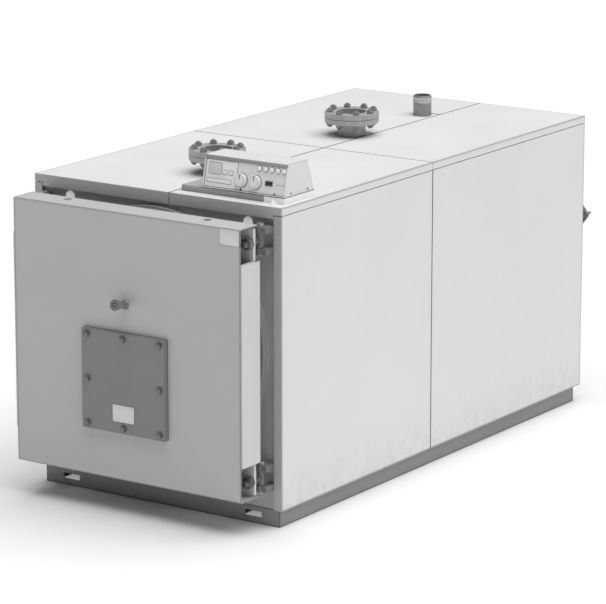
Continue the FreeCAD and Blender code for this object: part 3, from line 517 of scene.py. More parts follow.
@dataclass(frozen=True)
class ClearCover(Finish):
    """A smooth moulded lens, window or cap with a wet gloss and light dust; its glow lights the lamps, and on
    the caps and slot trays it is painted light.
    """

    colour: RGB
    roughness: float = 0.12
    glow: float = 0.0

    def inputs(self, tree: ShaderTree, place: Wire) -> dict[str, Any]:
        """Build the cover's node tree."""
        film = tree.noise(place, 120.0, 4.0, 0.6)
        colour = tree.blend(film.step(0.3, 0.8), self.colour, scaled(self.colour, 0.9))
        rough = self.roughness + film * 0.12
        ripple = tree.bump(tree.noise(place, 260.0, 2.0), 0.00003, 0.4)
        return {
            "Base Color": colour,
            "Roughness": rough,
            "Normal": ripple,
            "Coat Weight": 0.35,
            "Coat Roughness": 0.08,
            "Emission Color": colour,
            "Emission Strength": self.glow,
        }


@dataclass(frozen=True)
class CastRefractory(Finish):
    """Cast refractory concrete: sandy matrix, lighter and darker aggregate, small pits darkened as painted
    shade.
    """

    colour: RGB = (0.52, 0.46, 0.37)

    def inputs(self, tree: ShaderTree, place: Wire) -> dict[str, Any]:
        """Build the casting's node tree."""
        stones = tree.cells(place, 120.0)
        sand = tree.noise(place, 340.0, 5.0, 0.7)
        cloud = tree.noise(place, 7.0, 5.0, 0.6)
        colour = tree.blend(cloud, scaled(self.colour, 0.82), scaled(self.colour, 1.12))
        colour = tree.blend(stones.step(0.28, 0.16) * 0.55, colour, scaled(self.colour, 0.62))
        colour = tree.blend(sand.step(0.55, 0.75) * 0.5, colour, scaled(self.colour, 1.3))
        pits = tree.noise(place, 90.0, 4.0, 0.6).step(0.36, 0.3)
        # painted shade: the pits are darkened
        colour = tree.blend(pits * 0.7, colour, scaled(self.colour, 0.4))
        height = sand * 0.35 + stones * 0.35 - pits * 0.6
        normal = tree.bump(height, 0.0012, 0.8)
        return {"Base Color": colour, "Roughness": 0.9 - sand * 0.1, "Normal": normal}


@dataclass(frozen=True)
class Fibre(Finish):
    """Woven or pressed fibre, as in rope seals and flange gaskets."""

    colour: RGB
    scale: float = 900.0
    depth: float = 0.0004

    def inputs(self, tree: ShaderTree, place: Wire) -> dict[str, Any]:
        """Build the fibre's node tree."""
        threads = tree.noise(place, self.scale, 4.0, 0.7)
        patches = tree.noise(place, 45.0, 4.0, 0.6)
        colour = tree.blend(threads, scaled(self.colour, 0.7), scaled(self.colour, 1.25))
        colour = tree.blend(patches.step(0.5, 0.8) * 0.4, colour, scaled(self.colour, 0.55))
        normal = tree.bump(threads, self.depth, 0.8)
        return {"Base Color": colour, "Roughness": 0.92 - patches * 0.1, "Normal": normal}


@dataclass(frozen=True)
class FoilPlate(Finish):
    """A blank satin label plate with a brushed surface."""

    colour: RGB = (0.66, 0.66, 0.67)

    def inputs(self, tree: ShaderTree, place: Wire) -> dict[str, Any]:
        """Build the label's node tree."""
        brushed = tree.noise(tree.moved(place, Vector(), (0.04, 1.0, 1.0)), 1400.0, 3.0, 0.6)
        smear = tree.noise(place, 24.0, 4.0, 0.6)
        colour = tree.blend(brushed * 0.6 + smear * 0.4, scaled(self.colour, 0.93), scaled(self.colour, 1.07))
        rough = 0.36 + (smear - 0.5) * 0.2
        normal = tree.bump(brushed, 0.00002, 0.5)
        return {"Base Color": colour, "Metallic": 0.15, "Roughness": rough, "Normal": normal}


@dataclass(frozen=True)
class StudioFloor(Finish):
    """A smooth pale floor with the faintest tone variation."""

    name: str = "studio_floor"
    colour: RGB = (0.90, 0.90, 0.90)

    def inputs(self, tree: ShaderTree, place: Wire) -> dict[str, Any]:
        """Build the floor's node tree."""
        cloud = tree.noise(place, 0.4, 3.0)
        colour = tree.blend(cloud, scaled(self.colour, 0.995), self.colour)
        return {"Base Color": colour, "Roughness": 0.85, "Specular IOR Level": 0.1}


# ---- mesh work ----------------------------------------------------------------------------


def frame_at(origin: Vector, up: Vector, across: Vector | None = None) -> Matrix:
    """A placement whose local Z is up and whose local X is as near across as it can be.

    Args:
        origin: where the local origin goes.
        up: direction of local Z.
        across: rough direction of local X.

    Returns:
        The placement.
    """
    z_axis = up.normalized()
    guide = across if across is not None else Vector((1, 0, 0))
    if abs(guide.normalized().dot(z_axis)) > 0.99:
        guide = Vector((0, 1, 0))
    x_axis = (guide - z_axis * guide.dot(z_axis)).normalized()
    y_axis = z_axis.cross(x_axis)
    placement = Matrix((x_axis, y_axis, z_axis)).transposed().to_4x4()
    placement.translation = origin
    return placement


class Solid:
    """A mesh under construction, in the local frame it is later placed from."""

    def __init__(self) -> None:
        """Start empty."""
        self.work = bmesh.new()

    def loft(self, rings: Sequence[Sequence[Vector]], closed: bool = False) -> "Solid":
        """Skin rings of equal count into a closed form.

        Args:
            rings: the rings in order.
            closed: whether the last ring joins the first instead of both being capped.

        Returns:
            The solid itself.
        """
        rows = [[self.work.verts.new(point) for point in ring] for ring in rings]
        count = len(rows[0])
        pairs = list(zip(rows, rows[1:])) + ([(rows[-1], rows[0])] if closed else [])
        for lower, upper in pairs:
            for index in range(count):
                after = (index + 1) % count
                self.work.faces.new((lower[index], lower[after], upper[after], upper[index]))
        if not closed:
            self.work.faces.new(rows[0][::-1])
            self.work.faces.new(rows[-1])
        return self

    def turned(self, profile: Sequence[Point2], segments: int = 32, hollow: bool = False,
               centre: Point2 = (0.0, 0.0)) -> "Solid":
        """Turn a profile of (radius, height) points round local Z.

        Args:
            profile: the points from one end to the other.
            segments: facets round the axis.
            hollow: whether the profile is a closed loop round a bore.
            centre: where the axis crosses the local plane.

        Returns:
            The solid itself.
        """
        turns = [2 * math.pi * step / segments for step in range(segments)]
        rings = [[Vector((centre[0] + radius * math.cos(t), centre[1] + radius * math.sin(t), height))
                  for t in turns] for radius, height in profile]
        return self.loft(rings, hollow)

    def hexagon(self, flats: float, base: float, height: float, both_ends: bool = True) -> "Solid":
        """A hexagon nut or head with turned-down corners.

        Args:
            flats: width across flats.
            base: local height of its lower face.
            height: its thickness.
            both_ends: whether both faces are turned down, or only the upper one.

        Returns:
            The solid itself.
        """
        apothem, slope, segments = flats / 2, math.tan(math.radians(30)), 24
        turns = [2 * math.pi * step / segments for step in range(segments)]
        reach = [apothem / math.cos((t % (math.pi / 3)) - math.pi / 6) for t in turns]
        face = apothem * 0.96

        def ring(radii: Sequence[float], heights: Sequence[float]) -> list[Vector]:
            """Points at given radii and heights."""
            return [Vector((r * math.cos(t), r * math.sin(t), h)) for r, t, h in zip(radii, turns, heights)]

        drops = [(value - face) * slope for value in reach]
        top = base + height
        rings = [ring([face] * segments, [top] * segments), ring(reach, [top - drop for drop in drops])]
        if both_ends:
            rings += [ring(reach, [base + drop for drop in drops]),
                      ring([face] * segments, [base] * segments)]
        else:
            rings += [ring(reach, [base] * segments)]
        return self.loft(rings[::-1])

    def panel(self, width: float, height: float, depth: float, corner: float = 0.0, edge: float = 0.0,
              centre: Point2 = (0.0, 0.0), base: float = 0.0) -> "Solid":
        """A plate with rounded corners and an eased front edge, rising along local Z.

        Args:
            width: size along local X.
            height: size along local Y.
            depth: thickness.
            corner: radius of the corners.
            edge: how far the front edge is eased.
            centre: its middle in the local plane.
            base: local height of its back.

        Returns:
            The solid itself.
        """
        corner = max(corner, 0.0002)

        def ring(inset: float, level: float) -> list[Vector]:
            """The rounded outline, drawn in by an inset."""
            radius = max(corner - inset, 0.0001)
            points = []
            for quarter, (side_x, side_y) in enumerate(((1, 1), (-1, 1), (-1, -1), (1, -1))):
                middle_x = centre[0] + side_x * (width / 2 - inset - radius)
                middle_y = centre[1] + side_y * (height / 2 - inset - radius)
                for step in range(5):
                    turn = math.pi / 2 * (quarter + step / 4)
                    points.append(Vector((middle_x + radius * math.cos(turn),
                                          middle_y + radius * math.sin(turn), level)))
            return points

        top = base + depth
        rings = [ring(0, base), ring(0, top - edge)]
        if edge:
            rings += [ring(edge * 0.3, top - edge * 0.3), ring(edge, top)]
        return self.loft(rings)

    def piece(self, name: str, placement: Matrix) -> bpy.types.Object:
        """Turn the work into an object with its place in its mesh.

        Args:
            name: the piece's name.
            placement: where the local frame goes.

        Returns:
            The object.
        """
        bmesh.ops.remove_doubles(self.work, verts=self.work.verts, dist=1e-7)
        bmesh.ops.recalc_face_normals(self.work, faces=self.work.faces)
        mesh = bpy.data.meshes.new(name)
        self.work.to_mesh(mesh)
        self.work.free()
        mesh.transform(placement)
        return linked(name, mesh)


def linked(name: str, mesh: bpy.types.Mesh) -> bpy.types.Object:
    """Put a mesh in the scene, smooth apart from its folds."""
    mesh.shade_smooth()
    mesh.set_sharp_from_angle(angle=SMOOTH_ANGLE)
    piece = bpy.data.objects.new(name, mesh)
    bpy.context.scene.collection.objects.link(piece)
    return piece


def dressed(piece: bpy.types.Object, finish: bpy.types.Material, body: Body) -> bpy.types.Object:
    """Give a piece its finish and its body.

    Args:
        piece: the object.
        finish: its material.
        body: the body it rides on.

    Returns:
        The object.
    """
    piece.data.materials.clear()
    piece.data.materials.append(finish)
    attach(piece, body.value)
    log.info("%s: %d faces on %s", piece.name, len(piece.data.polygons), body.value)
    return piece


# ---- geometry node trees ------------------------------------------------------------------


class NodeNetwork:
    """A geometry node tree under construction, with named inputs."""

    def __init__(self, name: str, inputs: dict[str, str]) -> None:
        """Start a tree.

        Args:
            name: the tree's name.
            inputs: each named input's kind of socket, such as "Float".
        """
        self.tree = bpy.data.node_groups.new(name, "GeometryNodeTree")
        for label, kind in inputs.items():
            self.tree.interface.new_socket(name=label, in_out="INPUT", socket_type=f"NodeSocket{kind}")
        self.tree.interface.new_socket(name="Finish", in_out="INPUT", socket_type="NodeSocketMaterial")
        self.tree.interface.new_socket(name="Mesh", in_out="OUTPUT", socket_type="NodeSocketGeometry")
        self.entry = self.tree.nodes.new("NodeGroupInput")

    def given(self, label: str) -> bpy.types.NodeSocket:
        """The socket of a named input."""
        return self.entry.outputs[label]

    def add(self, kind: str, settings: dict[str, Any], values: dict[Any, Any], output: Any = 0) -> Any:
        """Add a node and connect it.

        Args:
            kind: the node's type.
            settings: its own properties.
            values: numbers or sockets for its inputs, by name or place.
            output: the output to return, by name or place.

        Returns:
            The chosen output socket.
        """
        node = self.tree.nodes.new(kind)
        for key, value in settings.items():
            setattr(node, key, value)
        for key, value in values.items():
            if isinstance(value, bpy.types.NodeSocket):
                self.tree.links.new(value, node.inputs[key])
            else:
                node.inputs[key].default_value = value
        return node.outputs[output]

    def maths(self, operation: str, first: Any, second: Any = 0.0) -> Any:
        """Add one Math node."""
        return self.add("ShaderNodeMath", {"operation": operation}, {0: first, 1: second})

    def circle(self, points: Any, radius: Any) -> Any:
        """Add a circle of so many points."""
        return self.add("GeometryNodeCurvePrimitiveCircle", {}, {"Resolution": points, "Radius": radius})

    def close(self, geometry: Any) -> bpy.types.NodeTree:
        """Realize, set the finish and end the tree.

        Args:
            geometry: the socket of the made geometry.

        Returns:
            The tree.
        """
        real = self.add("GeometryNodeRealizeInstances", {}, {0: geometry})
        done = self.add("GeometryNodeSetMaterial", {}, {"Geometry": real, "Material": self.given("Finish")})
        exit_node = self.tree.nodes.new("NodeGroupOutput")
        self.tree.links.new(done, exit_node.inputs[0])
        return self.tree


def grown(name: str, tree: bpy.types.NodeTree, values: dict[str, Any]) -> bpy.types.Mesh:
    """Run a geometry node tree and keep its result as a plain mesh.

    Args:
        name: the mesh's name.
        tree: the tree.
        values: its inputs by name.

    Returns:
        The plain mesh, in the tree's own frame.
    """
    host = bpy.data.objects.new(name + "_host", bpy.data.meshes.new(name + "_host"))
    bpy.context.scene.collection.objects.link(host)
    modifier = host.modifiers.new("grow", "NODES")
    modifier.node_group = tree
    for item in tree.interface.items_tree:
        if item.in_out == "INPUT" and item.name in values:
            modifier[item.identifier] = values[item.name]
    bpy.context.view_layer.update()
    evaluated = host.evaluated_get(bpy.context.evaluated_depsgraph_get())
    mesh = bpy.data.meshes.new_from_object(evaluated)
    mesh.name = name
    host.modifiers.remove(modifier)
    bpy.data.objects.remove(host)
    return mesh


def outward(mesh: bpy.types.Mesh) -> bpy.types.Mesh:
    """Turn every closed part's faces outwards."""
    work = bmesh.new()
    work.from_mesh(mesh)
    bmesh.ops.recalc_face_normals(work, faces=work.faces)
    work.to_mesh(mesh)
    work.free()
    return mesh


class Workshop:
    """The geometry node trees that several sub-assemblies share, each built once."""

    def __init__(self) -> None:
        """Build the trees."""
        self.patterns = {pattern: self._pattern_tree(pattern) for pattern in Pattern}
        self.thread_tree = self._thread_tree()
        self.rope_tree = self._rope_tree()
        self.bead_tree = self._bead_tree()

    @staticmethod
    def _pattern_tree(pattern: Pattern) -> bpy.types.NodeTree:
        """Copies of one part on a ring, a rectangle or a line, each turned at random.

        Args:
            pattern: how the copies are laid out.

        Returns:
            The tree.
        """
        inputs = {"Count": "Int", "Width": "Float", "Height": "Float", "Part": "Object", "Turn": "Float",
                  "Seed": "Int"}
        net = NodeNetwork(f"{pattern.value}_of_parts", inputs)
        count, width, height = net.given("Count"), net.given("Width"), net.given("Height")
        if pattern is Pattern.RING:
            points = net.add("GeometryNodeMeshCircle", {}, {"Vertices": count, "Radius": width})
        elif pattern is Pattern.RECTANGLE:
            outline = net.add("GeometryNodeCurvePrimitiveQuadrilateral", {},
                              {"Width": width, "Height": height})
            points = net.add("GeometryNodeCurveToPoints", {"mode": "COUNT"},
                             {"Curve": outline, "Count": count})
        else:
            gap = net.maths("DIVIDE", width, net.maths("SUBTRACT", count, 1.0))
            offset = net.add("ShaderNodeCombineXYZ", {}, {0: gap})
            start = net.add("ShaderNodeCombineXYZ", {}, {0: net.maths("MULTIPLY", width, -0.5)})
            values = {"Count": count, "Start Location": start, "Offset": offset}
            points = net.add("GeometryNodeMeshLine", {}, values)
        part = net.add("GeometryNodeObjectInfo", {}, {"Object": net.given("Part")}, "Geometry")
        placed = net.add("GeometryNodeInstanceOnPoints", {}, {"Points": points, "Instance": part})
        spin = net.add("FunctionNodeRandomValue", {"data_type": "FLOAT"},
                       {2: 0.0, 3: net.given("Turn"), 8: net.given("Seed")}, 1)
        turn = net.add("ShaderNodeCombineXYZ", {}, {2: spin})
        turned = net.add("GeometryNodeRotateInstances", {}, {"Instances": placed, "Rotation": turn})
        return net.close(turned)

    @staticmethod
    def _thread_tree() -> bpy.types.NodeTree:
        """A screw thread: a ridge that climbs round local Z."""
        net = NodeNetwork("screw_thread", {"Radius": "Float", "Pitch": "Float", "Length": "Float"})
        radius, pitch, length = net.given("Radius"), net.given("Pitch"), net.given("Length")
        values = {"Resolution": 24, "Rotations": net.maths("DIVIDE", length, pitch), "Start Radius": radius,
                  "End Radius": radius, "Height": length}
        path = net.add("GeometryNodeCurveSpiral", {}, values)
        profile = net.circle(4, net.maths("MULTIPLY", pitch, RIDGE_SHARE))
        return net.close(net.add("GeometryNodeCurveToMesh", {}, {0: path, 1: profile, "Fill Caps": True}))

    @staticmethod
    def _rope_tree() -> bpy.types.NodeTree:
        """A laid rope bent into a ring: strands that wind round the ring's line."""
        inputs = {"Ring Radius": "Float", "Rope Radius": "Float", "Twists": "Float"}
        net = NodeNetwork("laid_rope_ring", inputs)
        ring = net.circle(ROPE_POINTS, net.given("Ring Radius"))
        share = net.add("GeometryNodeSplineParameter", {}, {}, "Factor")
        place = net.add("GeometryNodeInputPosition", {}, {})
        radial = net.add("ShaderNodeVectorMath", {"operation": "NORMALIZE"}, {0: place})
        turns = net.maths("MULTIPLY", share, net.given("Twists"))
        winding = net.maths("MULTIPLY", turns, 2 * math.pi)
        lay = net.maths("MULTIPLY", net.given("Rope Radius"), LAY_SHARE)
        profile = net.circle(8, net.maths("MULTIPLY", net.given("Rope Radius"), STRAND_SHARE))
        join = net.tree.nodes.new("GeometryNodeJoinGeometry")
        for strand in range(STRANDS):
            phase = net.maths("ADD", winding, 2 * math.pi * strand / STRANDS)
            out = net.maths("MULTIPLY", net.maths("COSINE", phase), lay)
            rise = net.maths("MULTIPLY", net.maths("SINE", phase), lay)
            sideways = net.add("ShaderNodeVectorMath", {"operation": "SCALE"}, {0: radial, "Scale": out})
            upwards = net.add("ShaderNodeCombineXYZ", {}, {2: rise})
            offset = net.add("ShaderNodeVectorMath", {"operation": "ADD"}, {0: sideways, 1: upwards})
            moved = net.add("GeometryNodeSetPosition", {}, {"Geometry": ring, "Offset": offset})
            net.tree.links.new(net.add("GeometryNodeCurveToMesh", {}, {0: moved, 1: profile}), join.inputs[0])
        return net.close(join.outputs[0])

    @staticmethod
    def _bead_tree() -> bpy.types.NodeTree:
        """A rippled weld bead round a ring."""
        inputs = {"Ring Radius": "Float", "Bead Radius": "Float", "Ripples": "Float", "Seed": "Int"}
        net = NodeNetwork("weld_bead_ring", inputs)
        ripples = net.given("Ripples")
        ring = net.circle(net.maths("MULTIPLY", ripples, 4.0), net.given("Ring Radius"))
        share = net.add("GeometryNodeSplineParameter", {}, {}, "Factor")
        wave = net.maths("SINE", net.maths("MULTIPLY", net.maths("MULTIPLY", share, ripples), 2 * math.pi))
        jitter = net.add("FunctionNodeRandomValue", {"data_type": "FLOAT"},
                         {2: 1 - BEAD_JITTER, 3: 1 + BEAD_JITTER, 8: net.given("Seed")}, 1)
        swell = net.maths("ADD", net.maths("MULTIPLY", wave, BEAD_RIPPLE), 1.0)
        shaped = net.add("GeometryNodeSetCurveRadius", {},
                         {"Curve": ring, "Radius": net.maths("MULTIPLY", swell, jitter)})
        profile = net.circle(8, net.given("Bead Radius"))
        return net.close(net.add("GeometryNodeCurveToMesh", {}, {0: shaped, 1: profile}))

    def repeat(self, name: str, pattern: Pattern, sizes: dict[str, Any], part: Solid,
               finish: bpy.types.Material, placement: Matrix) -> bpy.types.Object:
        """Lay copies of one part out in a pattern and place them.

        Args:
            name: the piece's name.
            pattern: how they are laid out.
            sizes: the tree's Count, Width, Height, Turn and Seed.
            part: the part that is copied, rising along local Z.
            finish: its material.
            placement: where the pattern's plane goes.

        Returns:
            The piece as a plain mesh.
        """
        model = part.piece(name + "_part", Matrix.Identity(4))
        values = {"Height": 0.0, "Turn": 0.0, "Seed": 7, **sizes, "Part": model, "Finish": finish}
        mesh = grown(name, self.patterns[pattern], values)
        mesh.transform(placement)
        bpy.data.objects.remove(model)
        return linked(name, mesh)

    def swept(self, name: str, tree: bpy.types.NodeTree, values: dict[str, Any],
              placement: Matrix) -> bpy.types.Object:
        """Run a sweeping tree and place its result.

        Args:
            name: the piece's name.
            tree: the tree.
            values: its inputs by name.
            placement: where its frame goes.

        Returns:
            The piece as a plain mesh.
        """
        mesh = outward(grown(name, tree, values))
        mesh.transform(placement)
        return linked(name, mesh)


# ---- palette ------------------------------------------------------------------------------


def joint_box(names: Sequence[str]) -> tuple[Vector, Vector]:
    """The box round several frame nodes.

    Args:
        names: the nodes.

    Returns:
        Lowest and highest corner.
    """
    boxes = [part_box(name) for name in names]
    low = Vector([min(box[0][axis] for box in boxes) for axis in range(3)])
    high = Vector([max(box[1][axis] for box in boxes) for axis in range(3)])
    return low, high


class Palette:
    """Every finish of the boiler, by name."""

    def __init__(self) -> None:
        """Build the finishes round the frame's boxes."""
        casing = joint_box(["front_left_panel", "front_right_panel", "rear_left_panel", "rear_right_panel",
                            "front_left_cover", "rear_right_cover"])
        base = joint_box(["base_left_beam", "base_right_beam", "base_front_beam", "base_rear_beam"])
        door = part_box("door_skin")
        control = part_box("control_housing")
        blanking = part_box("burner_blanking_plate")
        flow, back, nipple = (sum(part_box(name), Vector()) / 2
                              for name in ("flow_connection", "return_connection", "safety_nipple"))
        # widths of the bands of painted shade along the folded edges
        fold, control_fold, plate_fold = 0.0085, 0.0026, 0.0022
        # Numbers after the colour: a paint's roughness, clouding and dust; a steel's metallic share and
        # roughness (a turned steel's the other way round); a plastic's or cover's roughness, then its
        # glow; a fibre's thread count and depth.
        finishes = [
            # the casing gets painted shade along its folds and on its front-facing lips
            PowderCoat("casing_paint", grey(0.79, -0.010), 0.46, 0.020, 0.06,
                       edges=(BoxEdges(*casing, fold),), foot_height=0.30, front_shade_from=casing[0].y + 0.0013),
            PowderCoat("door_paint", grey(0.525, -0.016), 0.44, 0.025, 0.06, edges=(BoxEdges(*door, fold),)),
            PowderCoat("frame_dark", grey(0.30, -0.014), 0.52, 0.06, 0.2, edges=(BoxEdges(*base, fold),),
                       foot_height=0.05),
            PowderCoat("smoke_box_paint", grey(0.16), 0.6, 0.10, 0.2),
            # painted shade: the plinth's dark grey stands for the shade under the housing's overhang
            PowderCoat("plinth_paint", grey(0.46, -0.01), 0.5, 0.04, 0.1),
            PowderCoat("control_paint", grey(0.78, -0.008), 0.42, 0.02, 0.06,
                       edges=(BoxEdges(*control, control_fold),)),
            PowderCoat("door_steel", grey(0.72, -0.01), 0.5, 0.05, 0.1),
            PowderCoat("burner_plate_paint", grey(0.245, -0.014), 0.5, 0.05, 0.2,
                       edges=(BoxEdges(*blanking, plate_fold),), edge_shade_tone=0.5),
            PowderCoat("hinge_steel", grey(0.21, -0.01), 0.42, 0.08, 0.1),
            PlainSteel("sight_tube_steel", grey(0.30), 0.6, 0.3, tarnish_share=0.12),
            FiredSteel("boiler_steel"),
            TurnedSteel("fitting_steel", grey(0.46, -0.008), flow, 0.46, 0.3),
            Fibre("gasket", grey(0.05), 1200.0, 0.0002),
            PlainSteel("bare_steel", grey(0.5, -0.01)),
            MouldedPlastic("control_face", grey(0.86, -0.012), 0.48),
            MouldedPlastic("knob_plastic", grey(0.9, -0.01), 0.38),
            CastRefractory("refractory"),
            TurnedSteel("nipple_steel", grey(0.33, -0.008), nipple, 0.42, 0.3),
            TurnedSteel("return_flange_steel", grey(0.46, -0.008), back, 0.46, 0.3),
            PlainSteel("fastener_steel", grey(0.21, -0.012), 0.6, 0.4),
            PlainSteel("nut_steel", grey(0.32, -0.012), 0.45, 0.4),
            PlainSteel("thread_steel", grey(0.72, -0.01), 0.35, 0.34),
            PlainSteel("weld_metal", grey(0.24), 0.7, 0.5),
            MouldedPlastic("dark_plastic", grey(0.035), 0.4),
            MouldedPlastic("trim_plastic", grey(0.36, -0.01), 0.46),
            MouldedPlastic("outline_plastic", grey(0.08), 0.55),
            MouldedPlastic("pale_plastic", grey(0.95), 0.4),
            MouldedPlastic("module_plastic", grey(0.93, -0.012), 0.42),
            ClearCover("display_window", grey(0.78, -0.02), 0.1),
            ClearCover("lamp_lens", grey(0.90), 0.14, 0.06),
            # painted light: the caps glow so that they look white in the shade they stand in
            ClearCover("cap_painted_glow", grey(0.95), 0.3, 0.34),
            # painted light: the slot trays glow so that the slots look pale
            ClearCover("tray_painted_glow", grey(0.95), 0.3, 0.34),
            ClearCover("sight_glass", grey(0.75), 0.06),
            PowderCoat("front_plate_paint", grey(0.48, -0.012), 0.52, 0.06, 0.1),
            PowderCoat("door_side_paint", grey(0.68, -0.014), 0.44, 0.025, 0.06),
            PowderCoat("ring_paint", grey(0.42, -0.012), 0.5, 0.08, 0.1),
            MouldedPlastic("seam_rubber", grey(0.05), 0.7),
            Fibre("collar_felt", grey(0.86, -0.006), 900.0, 0.0003),
            Fibre("seal_rope", (0.20, 0.19, 0.17), 1600.0, 0.0005),
            FoilPlate("label_foil", grey(0.74, -0.01)),
        ]
        self.named = {finish.name: finish.material() for finish in finishes}

    def __getitem__(self, name: str) -> bpy.types.Material:
        """A finish by its name, which is its slot's name where a slot has one finish."""
        return self.named[name]

    def dress_frame(self, subparts: Sequence[dict[str, str]], nodes: dict[str, bpy.types.Object]) -> None:
        """Give every frame node its finish.

        Args:
            subparts: the record's list of nodes and slots.
            nodes: the frame's objects by name.
        """
        special = {"safety_nipple": "nipple_steel", "front_plate": "front_plate_paint",
                   "sealing_ring": "ring_paint", "door_left_cover": "door_side_paint",
                   "door_right_cover": "door_side_paint", "return_counter_flange": "return_flange_steel",
                   "return_connection": "return_flange_steel"}
        for part in subparts:
            name = part["node"]
            finish = self[special.get(name, part["material_slot"])]
            for holder in nodes[name].material_slots:
                holder.material = finish
            log.info("%s: %s", name, finish.name)


# ---- sub-assemblies -----------------------------------------------------------------------


def face_middle(name: str, way: Vector) -> Vector:
    """The middle of the side of a frame node's box that faces one way.

    Args:
        name: the node.
        way: a unit vector along an axis.

    Returns:
        The point.
    """
    low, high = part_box(name)
    return (low + high) / 2 + Vector([step * (top - bottom) / 2 for step, bottom, top in zip(way, low, high)])


def side_name(side: int) -> str:
    """What the side at positive or negative X is called."""
    return "right" if side > 0 else "left"


def threaded_end(radius: float, length: float, pitch: float, start: float = 0.0) -> list[Point2]:
    """The turned profile of a bolt's end with thread grooves and a chamfer.

    Args:
        radius: the bolt's radius.
        length: how far it stands out.
        pitch: distance between grooves.
        start: height of its root.

    Returns:
        Points of (radius, height) from the root to the tip.
    """
    points = [(radius, start)]
    for index in range(max(1, int((length - radius * 0.15) / pitch))):
        points += [(radius * 0.9, start + (index + 0.5) * pitch), (radius, start + (index + 1) * pitch)]
    return points[:-1] + [(radius, start + length - radius * 0.15), (radius * 0.82, start + length)]


@dataclass
class Assembly:
    """A group of pieces that share the workshop and the palette."""

    workshop: Workshop
    palette: Palette

    def add(self, name: str, solid: Solid, place: Matrix, finish: str, slot: str,
            body: Body = Body.BOILER) -> None:
        """Place a solid as a finished piece.

        Args:
            name: the piece's name.
            solid: its form.
            place: where its local frame goes.
            finish: its finish's name.
            slot: the record's slot it belongs to; not used.
            body: the body it rides on.
        """
        dressed(solid.piece(name, place), self.palette[finish], body)

    def row(self, name: str, pattern: Pattern, sizes: dict[str, Any], part: Solid, place: Matrix,
            finish: str, slot: str, body: Body = Body.BOILER) -> bpy.types.Object:
        """Lay copies of a part out as one finished piece.

        Args:
            name: the piece's name.
            pattern: how they are laid out.
            sizes: the pattern's Count, Width, Height, Turn and Seed.
            part: the part that is copied.
            place: where the pattern's plane goes.
            finish: the finish's name.
            slot: the record's slot it belongs to; not used.
            body: the body it rides on.

        Returns:
            The piece.
        """
        piece = self.workshop.repeat(name, pattern, sizes, part, self.palette[finish], place)
        return dressed(piece, self.palette[finish], body)

    def sweep(self, name: str, tree: bpy.types.NodeTree, values: dict[str, Any], place: Matrix, finish: str,
              slot: str) -> None:
        """Run a sweeping tree as one finished piece of the boiler.

        Args:
            name: the piece's name.
            tree: the workshop's tree.
            values: its inputs by name.
            place: where its frame goes.
            finish: the finish's name.
            slot: the record's slot it belongs to; not used.
        """
        piece = self.workshop.swept(name, tree, {**values, "Finish": self.palette[finish]}, place)
        dressed(piece, self.palette[finish], Body.BOILER)


@dataclass
class WaterConnections(Assembly):
    """Bolted flange pairs and threaded stubs on the shell."""

    bolt_count: int = 8
    bolt_circle: float = 0.090
    bolt_radius: float = 0.008
    bolt_end: float = 0.005
    bolt_pitch: float = 0.001
    nut_flats: float = 0.024
    nut_height: float = 0.013
    stack: float = 0.042
    pipe_radius: float = 0.05715
    bead_radius: float = 0.0035
    bead_ripples: float = 90.0
    bead_drop: float = 0.001
    thread_pitch: float = 0.0046
    nipple_thread: tuple[float, float, float] = (0.0372, 0.021, 0.0285)
    drain_thread: tuple[float, float, float] = (0.0282, 0.018, 0.0195)

    def build(self) -> None:
        """Make the bolts, threads and welds."""
        for run in ("flow", "return"):
            self.flange(run)
        self.thread("nipple_thread", "safety_nipple", UP, self.nipple_thread)
        self.thread("drain_thread", "drain_nipple", REAR, self.drain_thread)

    def stud(self) -> Solid:
        """A stud with a nut at each end, rising from the lower flange's underside."""
        part = Solid()
        part.hexagon(self.nut_flats, -self.nut_height, self.nut_height)
        part.hexagon(self.nut_flats, self.stack, self.nut_height)
        profile = threaded_end(self.bolt_radius, self.bolt_end, self.bolt_pitch)
        part.turned([(radius, -self.nut_height - height) for radius, height in profile][::-1], 20)
        part.turned([(radius, self.stack + self.nut_height + height) for radius, height in profile], 20)
        return part

    def flange(self, run: str) -> None:
        """The ring of studs through one pair of flanges and the weld under it.

        Args:
            run: "flow" or "return".
        """
        foot = face_middle(f"{run}_counter_flange", UP) - UP * self.stack
        sizes = {"Count": self.bolt_count, "Width": self.bolt_circle, "Turn": 2.0, "Seed": 3}
        piece = self.row(f"{run}_bolt_set", Pattern.RING, sizes, self.stud(), frame_at(foot, UP), "nut_steel",
                         "bare_steel")
        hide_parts(f"{run}_flange_bolts")
        values = {"Ring Radius": self.pipe_radius, "Bead Radius": self.bead_radius,
                  "Ripples": self.bead_ripples, "Seed": 5}
        self.sweep(f"{run}_neck_weld", self.workshop.bead_tree, values,
                   frame_at(foot - UP * self.bead_drop, UP), "fitting_steel", "fitting_steel")

    def thread(self, name: str, node: str, way: Vector, sizes: tuple[float, float, float]) -> None:
        """The pipe thread on a stub.

        Args:
            name: the piece's name.
            node: the stub's node.
            way: where the stub points.
            sizes: the thread's radius, its length and how far below the stub's end it starts.
        """
        radius, length, start = sizes
        values = {"Radius": radius, "Pitch": self.thread_pitch, "Length": length}
        foot = face_middle(node, way) - way * start
        self.sweep(name, self.workshop.thread_tree, values, frame_at(foot, way), "thread_steel",
                   "fitting_steel")


